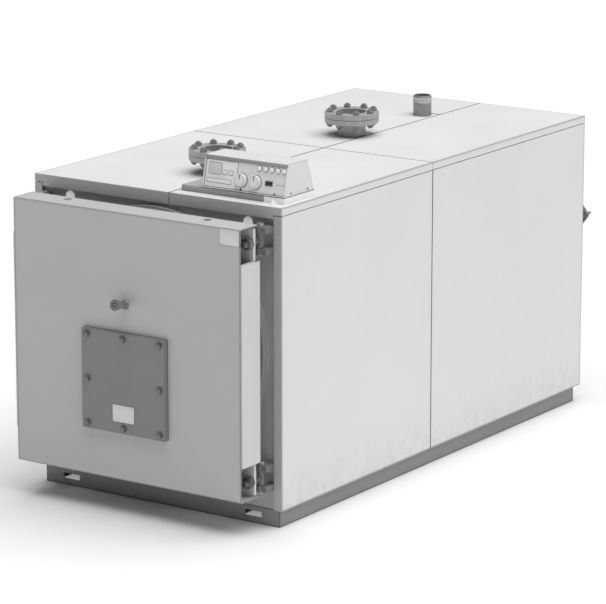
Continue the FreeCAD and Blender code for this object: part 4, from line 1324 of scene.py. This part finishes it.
@dataclass
class BoilerMouth(Assembly):
    """The shell's open front: rope seal, weld and the caps in the lifting holes."""

    rope_radius: float = 0.0075
    rope_twists: float = 110.0
    seal_radius: float = 0.487
    weld_gap: float = 0.001
    weld_radius: float = 0.005
    weld_ripples: float = 420.0
    cap_radius: float = 0.021
    cap_x: float = 0.415
    cap_z: float = 1.157

    def build(self) -> None:
        """Make the mouth's fittings."""
        mouth = face_middle("sealing_ring", FRONT)
        values = {"Ring Radius": self.seal_radius, "Rope Radius": self.rope_radius,
                  "Twists": self.rope_twists}
        self.sweep("door_seal_rope", self.workshop.rope_tree, values,
                   frame_at(mouth + FRONT * self.rope_radius * 0.7, FRONT), "seal_rope", "boiler_steel")
        plate_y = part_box("front_plate")[0].y
        values = {"Ring Radius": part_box("sealing_ring")[1].x + self.weld_gap, "Bead Radius": self.weld_radius,
                  "Ripples": self.weld_ripples, "Seed": 11}
        self.sweep("shell_front_weld", self.workshop.bead_tree, values,
                   frame_at(Vector((0, plate_y, mouth.z)), FRONT), "front_plate_paint", "boiler_steel")
        radius = self.cap_radius
        cap = Solid().turned([(radius * 0.8, -0.004), (radius * 0.8, 0.0), (radius, 0.0), (radius, 0.0018),
                              (radius * 0.9, 0.0042), (radius * 0.62, 0.0062), (radius * 0.3, 0.007)], 40)
        # the caps' finish glows as painted light, though they are no lamps
        self.row("lifting_hole_caps", Pattern.LINE, {"Count": 2, "Width": 2 * self.cap_x}, cap,
                 frame_at(Vector((0, plate_y, self.cap_z)), FRONT), "cap_painted_glow", "frame_dark")


@dataclass
class HeatingDoor(Assembly):
    """The hinged door's fasteners, labels, lining band, sight glass and hole rims."""

    unit_x: float = 0.504
    unit_spacing: float = 0.909
    unit_middle_z: float = 0.6545
    stud_radius: float = 0.012
    stud_length: float = 0.100
    stud_pitch: float = 0.0018
    barrel_end: float = 0.034
    nut_flats: float = 0.041
    nut_base: float = 0.0594
    nut_height: float = 0.0206
    end_base: float = 0.080
    end_length: float = 0.020
    captive_gap: float = 0.001
    bolt_half_width: float = 0.169
    bolt_half_height: float = 0.173
    label_corner: float = 0.0025
    label_edge: float = 0.0015
    rivet_inset: float = 0.006
    band_wall: float = 0.010
    band_depth: float = 0.063
    sight_z: float = 0.827
    sight_length: float = 0.068
    sight_tilt: float = math.radians(11)
    rim_spacing: float = 0.65
    rim_inset: float = 0.039

    def build(self) -> None:
        """Make the door's pieces."""
        self.clamp_studs()
        self.blanking_bolts()
        self.labels()
        self.lining_band()
        self.sight_glass()
        self.hole_rims()

    def clamp_studs(self) -> None:
        """The four threaded studs with washers and nuts."""
        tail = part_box("door_studs")[0].y + self.stud_length
        for side, gap in ((1, 0.0), (-1, self.captive_gap)):
            part = Solid()
            part.turned([(self.stud_radius, gap), (self.stud_radius, self.barrel_end)], 28)
            part.turned([(0.0155, 0.036), (0.017, 0.0375), (0.017, 0.0428), (0.0155, 0.044)], 28)
            part.turned([(0.0205, 0.056), (0.0215, 0.0566), (0.0215, 0.0588), (0.0205, self.nut_base)], 32)
            part.hexagon(self.nut_flats, self.nut_base, self.nut_height)
            end = threaded_end(self.stud_radius, self.end_length, self.stud_pitch, self.end_base)
            part.turned([(self.stud_radius, 0.030)] + end, 28)
            place = frame_at(Vector((side * self.unit_x, tail, self.unit_middle_z)), FRONT, UP)
            sizes = {"Count": 2, "Width": self.unit_spacing, "Turn": 1.0, "Seed": 4 + side}
            piece = self.row(f"{side_name(side)}_stud_set", Pattern.LINE, sizes, part, place,
                             "fastener_steel", "bare_steel", Body.DOOR)
            if side > 0:
                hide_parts("door_studs")

    def blanking_bolts(self) -> None:
        """The washers and bolt heads round the burner's blanking plate, and the seal behind it."""
        low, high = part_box("burner_blanking_plate")
        part = Solid()
        part.turned([(0.0146, 0.0), (0.0155, 0.0006), (0.0155, 0.0019), (0.0146, 0.0025)], 28)
        part.hexagon(0.021, 0.0025, 0.008, False)
        part.turned([(0.0062, 0.0105), (0.0062, 0.0108), (0.0045, 0.0112)], 16)
        spread = (self.bolt_half_width + self.bolt_half_height) / 2
        fit = Matrix.Diagonal((self.bolt_half_width / spread, self.bolt_half_height / spread, 1, 1))
        place = frame_at(face_middle("burner_blanking_plate", FRONT), FRONT) @ fit
        sizes = {"Count": 8, "Width": 2 * spread, "Height": 2 * spread, "Turn": 2.0, "Seed": 9}
        piece = self.row("blanking_bolt_set", Pattern.RECTANGLE, sizes, part, place, "fastener_steel",
                         "bare_steel", Body.DOOR)
        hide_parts("blanking_plate_bolts")
        size = high.x - low.x + 0.0025
        place = frame_at(face_middle("burner_blanking_plate", REAR) + FRONT * 0.0002, FRONT)
        self.add("blanking_seal", Solid().panel(size, size, 0.0016, 0.004, 0.0006), place,
                 "outline_plastic", "gasket", Body.DOOR)

    def labels(self) -> None:
        """Two blank riveted plates, one on the door and one on the blanking plate."""
        for name, node, x, z, width, height in (
                ("door_label", "door_skin", 0.4775, 1.1445, 0.087, 0.060),
                ("blanking_label", "burner_blanking_plate", 0.0, 0.408, 0.100, 0.066)):
            place = frame_at(Vector((x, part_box(node)[0].y, z)), FRONT)
            rim = Solid().panel(width + 2 * self.label_edge, height + 2 * self.label_edge, 0.0006,
                                self.label_corner, 0.0002)
            self.add(name + "_rim", rim, place, "outline_plastic", "burner_plate_paint", Body.DOOR)
            foil = Solid().panel(width, height, 0.0011, self.label_corner, 0.0003)
            across, rise = width / 2 - self.rivet_inset, height / 2 - self.rivet_inset
            for centre in ((-across, -rise), (-across, rise), (across, -rise), (across, rise)):
                foil.turned([(0.0022, 0.001), (0.0021, 0.0018), (0.0012, 0.0023)], 14, centre=centre)
            self.add(name, foil, place, "label_foil", "burner_plate_paint", Body.DOOR)

    def lining_band(self) -> None:
        """The steel band that holds the lining."""
        radius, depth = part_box("door_refractory")[1].x, self.band_depth
        inner, outer = radius + 0.0005, radius + self.band_wall
        band = Solid().turned([(inner, 0.0), (inner, depth), (outer - 0.002, depth), (outer, depth - 0.002),
                               (outer, 0.0)], 160, True)
        place = frame_at(face_middle("door_refractory", FRONT), REAR)
        self.add("lining_band", band, place, "weld_metal", "door_steel", Body.DOOR)

    def sight_glass(self) -> None:
        """The glass in the sight tube's cap, the ring that holds it and the collar at the tube's foot."""
        way = Vector((0, -math.cos(self.sight_tilt), math.sin(self.sight_tilt)))
        foot = Vector((0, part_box("door_skin")[0].y, self.sight_z))
        tip = frame_at(foot + way * self.sight_length, way)
        glass = [(0.0048, -0.0055), (0.0048, -0.002), (0.0035, -0.0012), (0.0015, -0.0008)]
        ring = [(0.0085, 0.0), (0.0085, 0.0014), (0.0078, 0.002), (0.0058, 0.002), (0.005, 0.001),
                (0.005, 0.0)]
        collar = [(0.0149, 0.0), (0.0149, 0.0065), (0.0170, 0.0058), (0.0182, 0.004), (0.0182, 0.0)]
        for name, profile, segments, place, finish in (
                ("sight_glass", glass, 24, tip, "sight_glass"),
                ("sight_glass_ring", ring, 32, tip, "dark_plastic"),
                ("sight_tube_collar", collar, 40, frame_at(foot, FRONT), "sight_tube_steel")):
            solid = Solid().turned(profile, segments, name != "sight_glass")
            self.add(name, solid, place, finish, "sight_tube_steel", Body.DOOR)

    def hole_rims(self) -> None:
        """The pressed rims of the two holes on the door's top."""
        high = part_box("door_skin")[1]
        rim = Solid().turned([(0.0125, -0.001), (0.0125, 0.0012), (0.0138, 0.0022), (0.0158, 0.0012),
                              (0.0158, -0.001)], 32, True)
        place = frame_at(Vector((0, high.y - self.rim_inset, high.z)), UP)
        self.row("door_hole_rims", Pattern.LINE, {"Count": 2, "Width": self.rim_spacing}, rim, place,
                 "trim_plastic", "door_paint", Body.DOOR)


@dataclass
class CasingTrim(Assembly):
    """Rubber strips in the sheets' seams, felt collars round the connections and slot trays."""

    strip_sink: float = 0.0006
    collar_drop: float = 0.003
    collar_depth: float = 0.022
    collar_facets: int = 96
    pipe_radius: float = 0.0577
    pipe_notch: float = 0.0715
    nipple_radius: float = 0.0384
    nipple_notch: float = 0.0475
    seam_x: float = 0.063
    tray_depth: float = 0.0015
    slot_x: float = 0.432
    slot_floor_z: float = 0.0245
    slot_middle: float = 0.082

    def build(self) -> None:
        """Make the strips, collars and trays."""
        self.strips()
        self.collar("flow_collar", "flow_connection", self.pipe_radius, self.pipe_notch)
        self.collar("return_collar", "return_connection", self.pipe_radius, self.pipe_notch)
        self.collar("nipple_collar", "safety_nipple", self.nipple_radius, self.nipple_notch)
        self.trays()

    def strips(self) -> None:
        """The seam strips on the top and the two sides."""
        front_low, front_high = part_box("front_left_cover")
        rear_low, rear_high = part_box("rear_left_cover")
        seam_y, level = (front_high.y + rear_low.y) / 2, rear_high.z - self.strip_sink
        middle_y = (front_low.y + rear_high.y) / 2
        strips = [("long_seam_strip", (0.0052, rear_high.y - front_low.y, 0.0012),
                   frame_at(Vector((self.seam_x, middle_y, level)), UP)),
                  ("cross_seam_strip", (1.1496, 0.004, 0.0011), frame_at(Vector((0, seam_y, level)), UP))]
        for side in (-1, 1):
            node, way = f"front_{side_name(side)}_panel", Vector((side, 0, 0))
            low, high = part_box(node)
            origin = face_middle(node, way) - way * self.strip_sink
            origin.y = seam_y
            strips.append((f"{side_name(side)}_seam_strip", (0.0055, high.z - low.z, 0.0011),
                           frame_at(origin, way, Vector((0, side, 0)))))
        for name, size, place in strips:
            self.add(name, Solid().panel(*size, 0.0006, 0.0003), place, "seam_rubber", "casing_paint")

    def collar(self, name: str, node: str, inner: float, notch: float) -> None:
        """The felt that closes the notch round one connection.

        Args:
            name: the collar's name.
            node: the connection it goes round.
            inner: radius of its hole.
            notch: half the notch's width.
        """
        low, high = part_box(node)
        upper, lower = -self.collar_drop, -self.collar_drop - self.collar_depth
        turns = [2 * math.pi * step / self.collar_facets for step in range(self.collar_facets)]
        directions = [(math.cos(turn), math.sin(turn)) for turn in turns]
        reach = [notch if c <= 0 else min((self.seam_x - 0.003) / c, notch / max(abs(s), 1e-6))
                 for c, s in directions]
        bore = [inner] * self.collar_facets
        rings = [[Vector((c * radius, s * radius, level)) for (c, s), radius in zip(directions, radii)]
                 for radii, level in ((reach, lower), (reach, upper), (bore, upper), (bore, lower))]
        place = frame_at(Vector((0, (low.y + high.y) / 2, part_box("rear_left_cover")[1].z)), UP)
        self.add(name, Solid().loft(rings, True), place, "collar_felt", "casing_paint")

    def trays(self) -> None:
        """The pale guide trays behind the lifting slots, whose finish glows as painted light."""
        for end, way in (("front", FRONT), ("rear", REAR)):
            for side in (-1, 1):
                place = face_middle(f"base_{end}_beam", way) - way * self.slot_middle
                place.x, place.z = side * self.slot_x, self.slot_floor_z - self.tray_depth
                tray = Solid().panel(0.090, 0.150, self.tray_depth, 0.002, 0.0004)
                self.add(f"{end}_{side_name(side)}_slot_tray", tray, frame_at(place, UP), "tray_painted_glow",
                         "frame_dark")


@dataclass
class ControlBox(Assembly):
    """The instrument panel: module, display, keys, knobs, switch, lamps, trim and screws."""

    lean: float = math.atan2(0.028, 0.122)
    back_lean: float = math.atan2(0.040, 0.122)
    left_x: float = 0.178
    width: float = 0.362
    height: float = 0.1072
    rim: float = 0.006
    recess: float = 0.004
    slope_height: float = 0.12517
    module_lift: float = 0.0013
    line: float = 0.0016
    lamp_radius: float = 0.0098
    lamp_dome: float = 0.0075
    knob_radius: float = 0.025
    knob_top: float = 0.017
    knob_share: float = 0.36
    end_width: float = 0.094
    cone_x: float = 0.505
    screw_radius: float = 0.0034

    def build(self) -> None:
        """Make the panel's pieces."""
        self.module()
        self.knobs()
        self.switch()
        self.lamps()
        self.trim()
        self.screws()
        self.cable_glands()

    def face(self, across: float, rise: float, lift: float = 0.0) -> Matrix:
        """A placement on the fascia.

        Args:
            across: share of its width, from the left.
            rise: share of its height, from the bottom.
            lift: metres in front of its surface.

        Returns:
            The placement, with local X to the right and local Y up the slope.
        """
        up = Vector((0, math.sin(self.lean), math.cos(self.lean)))
        normal = Vector((0, -math.cos(self.lean), math.sin(self.lean)))
        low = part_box("control_housing")[0]
        foot = Vector((0, low.y, low.z))
        origin = foot + up * (self.rim + rise * self.height) + normal * (lift - self.recess)
        origin.x = self.left_x + across * self.width
        return frame_at(origin, normal)

    def plate(self, name: str, spans: Spans, depth: float, corner: float, finish: str,
              lift: float = 0.0) -> None:
        """A plate that covers given shares of the fascia.

        Args:
            name: the piece's name.
            spans: left, right, bottom and top share.
            depth: its thickness.
            corner: its corner radius.
            finish: the finish's name.
            lift: metres in front of the fascia's surface.
        """
        left, right, bottom, top = spans
        solid = Solid().panel((right - left) * self.width, (top - bottom) * self.height, depth, corner,
                              min(depth, 0.002) * 0.45)
        place = self.face((left + right) / 2, (bottom + top) / 2, lift)
        self.add(name, solid, place, finish, "control_face")

    def outlined(self, name: str, spans: Spans, depth: float, corner: float, finish: str, lift: float,
                 line: float) -> None:
        """A plate in a dark surround.

        Args:
            name: the plate's name.
            spans: left, right, bottom and top share.
            depth: its thickness.
            corner: its corner radius.
            finish: the finish's name.
            lift: metres in front of the fascia's surface.
            line: width of the surround.
        """
        left, right, bottom, top = spans
        wide, high = line / self.width, line / self.height
        self.plate(name + "_surround", (left - wide, right + wide, bottom - high, top + high), depth * 0.6,
                   corner + line, "outline_plastic", lift)
        self.plate(name, spans, depth, corner, finish, lift)

    def module(self) -> None:
        """The regulator module on the left with its display, keys and card slot."""
        self.outlined("regulator_module", (0.006, 0.395, 0.02, 0.95), 0.0014, 0.002, "module_plastic", 0.0,
                      0.0013)
        for name, spans, depth, corner, finish in (
                ("regulator_display", (0.045, 0.2, 0.47, 0.86), 0.0012, 0.004, "display_window"),
                ("regulator_key_left", (0.22, 0.27, 0.485, 0.63), 0.0018, 0.002, "module_plastic"),
                ("regulator_key_right", (0.298, 0.348, 0.485, 0.63), 0.0018, 0.002, "module_plastic"),
                ("card_slot_cover", (0.03, 0.335, 0.17, 0.30), 0.0010, 0.002, "module_plastic")):
            self.outlined(name, spans, depth, corner, finish, self.module_lift, self.line)

    def knobs(self) -> None:
        """The surrounds, pointers, grip ribs and grooves of the two knobs."""
        radius, top = self.knob_radius, self.knob_top
        rise = (self.knob_share * self.slope_height - self.rim) / self.height
        for body, node in ((Body.LEFT_DIAL, "left_knob"), (Body.RIGHT_DIAL, "right_knob")):
            low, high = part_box(node)
            across = ((low.x + high.x) / 2 - self.left_x) / self.width
            ring = Solid().turned([(radius + 0.0004, 0.0), (radius + 0.0004, 0.0009),
                                   (radius + 0.0022, 0.0009), (radius + 0.0026, 0.0)], 64, True)
            self.add(f"{body.value}_surround", ring, self.face(across, rise), "outline_plastic",
                     "control_face")
            pointer = Solid().panel(0.0036, 0.0175, 0.0007, 0.0012, 0.0002, (0, 0.0125))
            self.add(f"{body.value}_pointer", pointer, self.face(across, rise, top - 0.0003), "dark_plastic",
                     "knob_plastic", body)
            rib = Solid().panel(0.0009, 0.0014, 0.012, 0.0003, 0.0003)
            self.row(f"{body.value}_ribs", Pattern.RING, {"Count": 40, "Width": radius}, rib,
                     self.face(across, rise, 0.002), "knob_plastic", "knob_plastic", body)
            groove = Solid().turned([(radius - 0.0034, 0.0), (radius - 0.0034, 0.0004),
                                     (radius - 0.0046, 0.0004), (radius - 0.0046, 0.0)], 56, True)
            self.add(f"{body.value}_groove", groove, self.face(across, rise, top - 0.0002), "trim_plastic",
                     "knob_plastic", body)

    def switch(self) -> None:
        """The double rocker switch and the three marks beside it."""
        self.plate("rocker_frame", (0.756, 0.851, 0.285, 0.475), 0.0022, 0.002, "trim_plastic")
        for name, left, right in (("rocker_left", 0.762, 0.801), ("rocker_right", 0.806, 0.845)):
            self.plate(name, (left, right, 0.31, 0.45), 0.004, 0.0012, "dark_plastic")
        mark = Solid().panel(0.0075, 0.0022, 0.0008, 0.0006, 0.0002)
        self.row("switch_marks", Pattern.LINE, {"Count": 3, "Width": 0.0264}, mark, self.face(0.942, 0.36),
                 "outline_plastic", "control_face")

    def lamps(self) -> None:
        """The row of five indicator lamps."""
        radius, base, steps = self.lamp_radius, 0.001, 7
        place = self.face(0.819, 0.85)
        sizes = {"Count": 5, "Width": 0.306 * self.width}
        bezel = Solid().turned([(radius, 0.0), (radius, 0.0016), (radius + 0.0012, 0.0016),
                                (radius + 0.0018, 0.0)], 36, True)
        self.row("lamp_bezels", Pattern.LINE, sizes, bezel, place, "outline_plastic", "control_face")
        turns = [math.pi / 2 * step / steps for step in range(steps)]
        dome = [(radius * math.cos(turn), base + self.lamp_dome * math.sin(turn)) for turn in turns]
        lens = Solid().turned([(radius, 0.0)] + dome, 32)
        self.row("lamp_lenses", Pattern.LINE, sizes, lens, place, "lamp_lens", "control_face")

    def trim(self) -> None:
        """The dark strip of painted shade along the fascia's top, the plinth's pale end, the housing's seal,
        the fascia's line, the ledge and the cone.
        """
        low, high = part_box("control_housing")
        plinth_low, plinth_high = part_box("control_plinth")
        middle = (low + high) / 2
        plinth = (plinth_low + plinth_high) / 2
        span, end = high.x - low.x, self.end_width
        # painted shade: a dark strip along the fascia's top edge, where shade falls under the housing's top
        shade_strip = Solid().panel(span + 0.001, 0.0105, 0.0014, 0.001, 0.0008, (0, 0.0057))
        place = self.face((middle.x - self.left_x) / self.width, 1.0, self.recess)
        self.add("control_visor", shade_strip, place, "trim_plastic", "control_paint")
        cover = Solid().panel(end, plinth_high.y - plinth_low.y + 0.004, 0.0215, 0.004, 0.0012)
        origin = Vector((plinth_high.x - end / 2 + 0.0015, plinth.y - 0.001, plinth_low.z + 0.0002))
        self.add("plinth_end_cover", cover, frame_at(origin, UP), "pale_plastic", "control_paint")
        seal = Solid().panel(span + 0.003, high.y - low.y + 0.003, 0.0022, 0.002, 0.0006)
        origin = Vector((middle.x, middle.y, low.z - 0.0008))
        self.add("housing_seal", seal, frame_at(origin, UP), "outline_plastic", "control_paint")
        self.fascia_line()
        ledge = Solid().panel(plinth_high.x - plinth_low.x - end - 0.002, 0.004, 0.0035, 0.0005, 0.0005)
        origin = Vector((plinth.x - end / 2 - 0.001, plinth_low.y - 0.0018, plinth_low.z + 0.0095))
        self.add("plinth_ledge", ledge, frame_at(origin, UP), "trim_plastic", "plinth_paint")
        cone = Solid().turned([(0.0105, -0.0004), (0.0105, 0.0016), (0.009, 0.0022), (0.0022, 0.0165),
                               (0.0012, 0.0172)], 28)
        origin = Vector((self.cone_x, plinth_low.y - 0.014, plinth_low.z))
        self.add("plinth_cone", cone, frame_at(origin, UP), "pale_plastic", "control_paint")

    def fascia_line(self) -> None:
        """The dark gasket line round the recessed fascia."""
        line = self.line
        frame = Solid()
        for sign in (-1, 1):
            frame.panel(line, self.height, 0.0012, 0.0003, 0.0003, (sign * (self.width - line) / 2, 0))
            frame.panel(self.width, line, 0.0012, 0.0003, 0.0003, (0, sign * (self.height - line) / 2))
        self.add("fascia_gasket", frame, self.face(0.5, 0.5), "outline_plastic", "control_face")

    def screws(self) -> None:
        """Small dark screws along the fascia's foot and at the housing's sides."""
        sizes = {"Count": 2, "Width": 0.42 * self.width, "Turn": 3.0}
        self.row("fascia_screws", Pattern.LINE, sizes, pan_screw(self.screw_radius), self.face(0.674, 0.045),
                 "dark_plastic", "control_face")
        for side in (1, -1):
            origin = face_middle("control_housing", Vector((side, 0, 0)))
            origin.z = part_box("control_housing")[0].z + 0.012
            sizes = {"Count": 2, "Width": 0.11, "Turn": 3.0}
            self.row(f"housing_screws_{side_name(side)}", Pattern.LINE, sizes, pan_screw(self.screw_radius),
                     frame_at(origin, Vector((side, 0, 0)), REAR), "dark_plastic", "control_paint")

    def cable_glands(self) -> None:
        """A row of cable glands with blanking plugs on the housing's back."""
        low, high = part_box("control_housing")
        normal = Vector((0, math.cos(self.back_lean), math.sin(self.back_lean)))
        slope = Vector((0, -math.sin(self.back_lean), math.cos(self.back_lean)))
        foot = Vector(((low.x + high.x) / 2, high.y, low.z)) + slope * 0.03
        gland = Solid().hexagon(0.024, 0.0, 0.006, False)
        gland.turned([(0.0095, 0.006), (0.0095, 0.008), (0.0105, 0.009), (0.0105, 0.016), (0.008, 0.020),
                      (0.0045, 0.0215)], 24)
        self.row("cable_glands", Pattern.LINE, {"Count": 5, "Width": 0.24, "Turn": 1.0}, gland,
                 frame_at(foot, normal), "dark_plastic", "control_paint")


def pan_screw(radius: float) -> Solid:
    """A pan-head screw with a sunk socket."""
    profile = [(radius, -0.0004), (radius, 0.0008), (radius * 0.8, 0.0018), (radius * 0.5, 0.0022),
               (radius * 0.42, 0.0012)]
    return Solid().turned(profile, 18)


@dataclass
class RearEnd(Assembly):
    """What is fixed on the boiler's back: cover bolts, flue beads and sheet screws."""

    bolt_count: int = 18
    bolt_span: float = 0.94
    inset: float = 0.022
    screw_radius: float = 0.0062
    screw_x: float = 0.557
    screw_middle_z: float = 0.635
    screw_span: float = 1.02

    def build(self) -> None:
        """Make the rear pieces."""
        low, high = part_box("smoke_box_cover")
        collar_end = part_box("flue_collar")[1].y
        middle_z = (low.z + high.z) / 2
        bolt = Solid()
        bolt.turned([(0.0115, 0.0), (0.012, 0.0004), (0.012, 0.0018), (0.0115, 0.002)], 24)
        bolt.hexagon(0.017, 0.002, 0.0075, False)
        sizes = {"Count": self.bolt_count, "Width": self.bolt_span - 2 * self.inset,
                 "Height": high.z - low.z - 2 * self.inset, "Turn": 2.0, "Seed": 2}
        place = frame_at(Vector((0, high.y, middle_z)), REAR)
        self.row("box_cover_bolts", Pattern.RECTANGLE, sizes, bolt, place, "fastener_steel", "bare_steel")
        for name, y, radius, bead, ripples in (
                ("flue_collar_weld", high.y, 0.126, 0.003, 160.0),
                ("flue_collar_bead", collar_end - 0.012, 0.1245, 0.0025, 40.0)):
            values = {"Ring Radius": radius, "Bead Radius": bead, "Ripples": ripples, "Seed": 8}
            self.sweep(name, self.workshop.bead_tree, values, frame_at(Vector((0, y, middle_z)), REAR),
                       "smoke_box_paint", "smoke_box_paint")
        for side in (-1, 1):
            origin = Vector((side * self.screw_x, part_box("rear_right_panel")[1].y, self.screw_middle_z))
            self.row(f"rear_screws_{side_name(side)}", Pattern.LINE,
                     {"Count": 7, "Width": self.screw_span, "Turn": 3.0}, pan_screw(self.screw_radius),
                     frame_at(origin, REAR, UP), "bare_steel", "casing_paint")


# ---- studio -------------------------------------------------------------------------------


@dataclass
class Studio:
    """The pale floor, the soft light and the camera."""

    floor_half: float = 60.0
    azimuth: float = math.radians(34.24)
    elevation: float = math.radians(13.66)
    distance: float = 14.281
    target_x: float = -0.1065
    target_depth: float = 1.14181
    target_z: float = 0.5554
    lens: float = 208.3
    sensor: float = 36.0
    light_from: tuple[float, float, float] = (0.205, 0.06, 0.968)
    light_power: float = 3.3
    light_angle: float = math.radians(74)
    ambient: float = 0.14
    backdrop: float = 0.93

    def build(self) -> None:
        """Make the floor, lights and camera."""
        scene = bpy.context.scene
        scene.view_settings.view_transform = "Standard"
        self.floor()
        self.sun()
        self.world(scene)
        self.camera(scene)

    def floor(self) -> None:
        """A wide smooth floor."""
        half = self.floor_half
        work = bmesh.new()
        outline = ((-half, -half), (half, -half), (half, half), (-half, half))
        work.faces.new([work.verts.new((x, y, 0.0)) for x, y in outline])
        mesh = bpy.data.meshes.new("studio_floor")
        work.to_mesh(mesh)
        work.free()
        floor = bpy.data.objects.new("studio_floor", mesh)
        bpy.context.scene.collection.objects.link(floor)
        floor.data.materials.append(StudioFloor().material())

    def sun(self) -> None:
        """One broad soft light from above on the right."""
        data = bpy.data.lights.new("soft_key", "SUN")
        data.energy = self.light_power
        data.angle = self.light_angle
        light = bpy.data.objects.new("soft_key", data)
        light.rotation_euler = Vector(self.light_from).to_track_quat("Z", "Y").to_euler()
        bpy.context.scene.collection.objects.link(light)

    def world(self, scene: bpy.types.Scene) -> None:
        """An even grey fill, seen itself as a pale backdrop.

        Args:
            scene: the scene that gets it.
        """
        world = bpy.data.worlds.new("studio_fill")
        world.use_nodes = True
        tree = world.node_tree
        tree.nodes.clear()
        path = tree.nodes.new("ShaderNodeLightPath")
        fill, seen = tree.nodes.new("ShaderNodeBackground"), tree.nodes.new("ShaderNodeBackground")
        fill.inputs["Strength"].default_value = self.ambient
        fill.inputs["Color"].default_value = (1.0, 1.0, 1.0, 1.0)
        seen.inputs["Color"].default_value = (*grey(self.backdrop), 1.0)
        choose = tree.nodes.new("ShaderNodeMixShader")
        output = tree.nodes.new("ShaderNodeOutputWorld")
        tree.links.new(path.outputs["Is Camera Ray"], choose.inputs[0])
        tree.links.new(fill.outputs[0], choose.inputs[1])
        tree.links.new(seen.outputs[0], choose.inputs[2])
        tree.links.new(choose.outputs[0], output.inputs["Surface"])
        scene.world = world

    def camera(self, scene: bpy.types.Scene) -> None:
        """The camera, looking from the front right and a little above.

        Args:
            scene: the scene that gets it.
        """
        data = bpy.data.cameras.new("studio_camera")
        data.lens, data.sensor_width, data.sensor_fit = self.lens, self.sensor, "HORIZONTAL"
        data.clip_end = 300.0
        camera = bpy.data.objects.new("studio_camera", data)
        level = math.cos(self.elevation)
        offset = Vector((math.sin(self.azimuth) * level, -math.cos(self.azimuth) * level,
                         math.sin(self.elevation)))
        target = Vector((self.target_x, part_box("front_right_panel")[0].y + self.target_depth, self.target_z))
        camera.location = target + offset * self.distance
        camera.rotation_euler = offset.to_track_quat("Z", "Y").to_euler()
        scene.collection.objects.link(camera)
        scene.camera = camera


def main() -> None:
    """Build the boiler's looks round its frame."""
    logging.basicConfig(level=logging.INFO, format="%(name)s: %(message)s")
    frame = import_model()
    palette = Palette()
    palette.dress_frame(frame["record"]["subparts"], frame["nodes"])
    workshop = Workshop()
    for assembly in (WaterConnections, BoilerMouth, HeatingDoor, CasingTrim, ControlBox, RearEnd):
        assembly(workshop, palette).build()
    Studio().build()


if __name__ == "__main__":
    main()
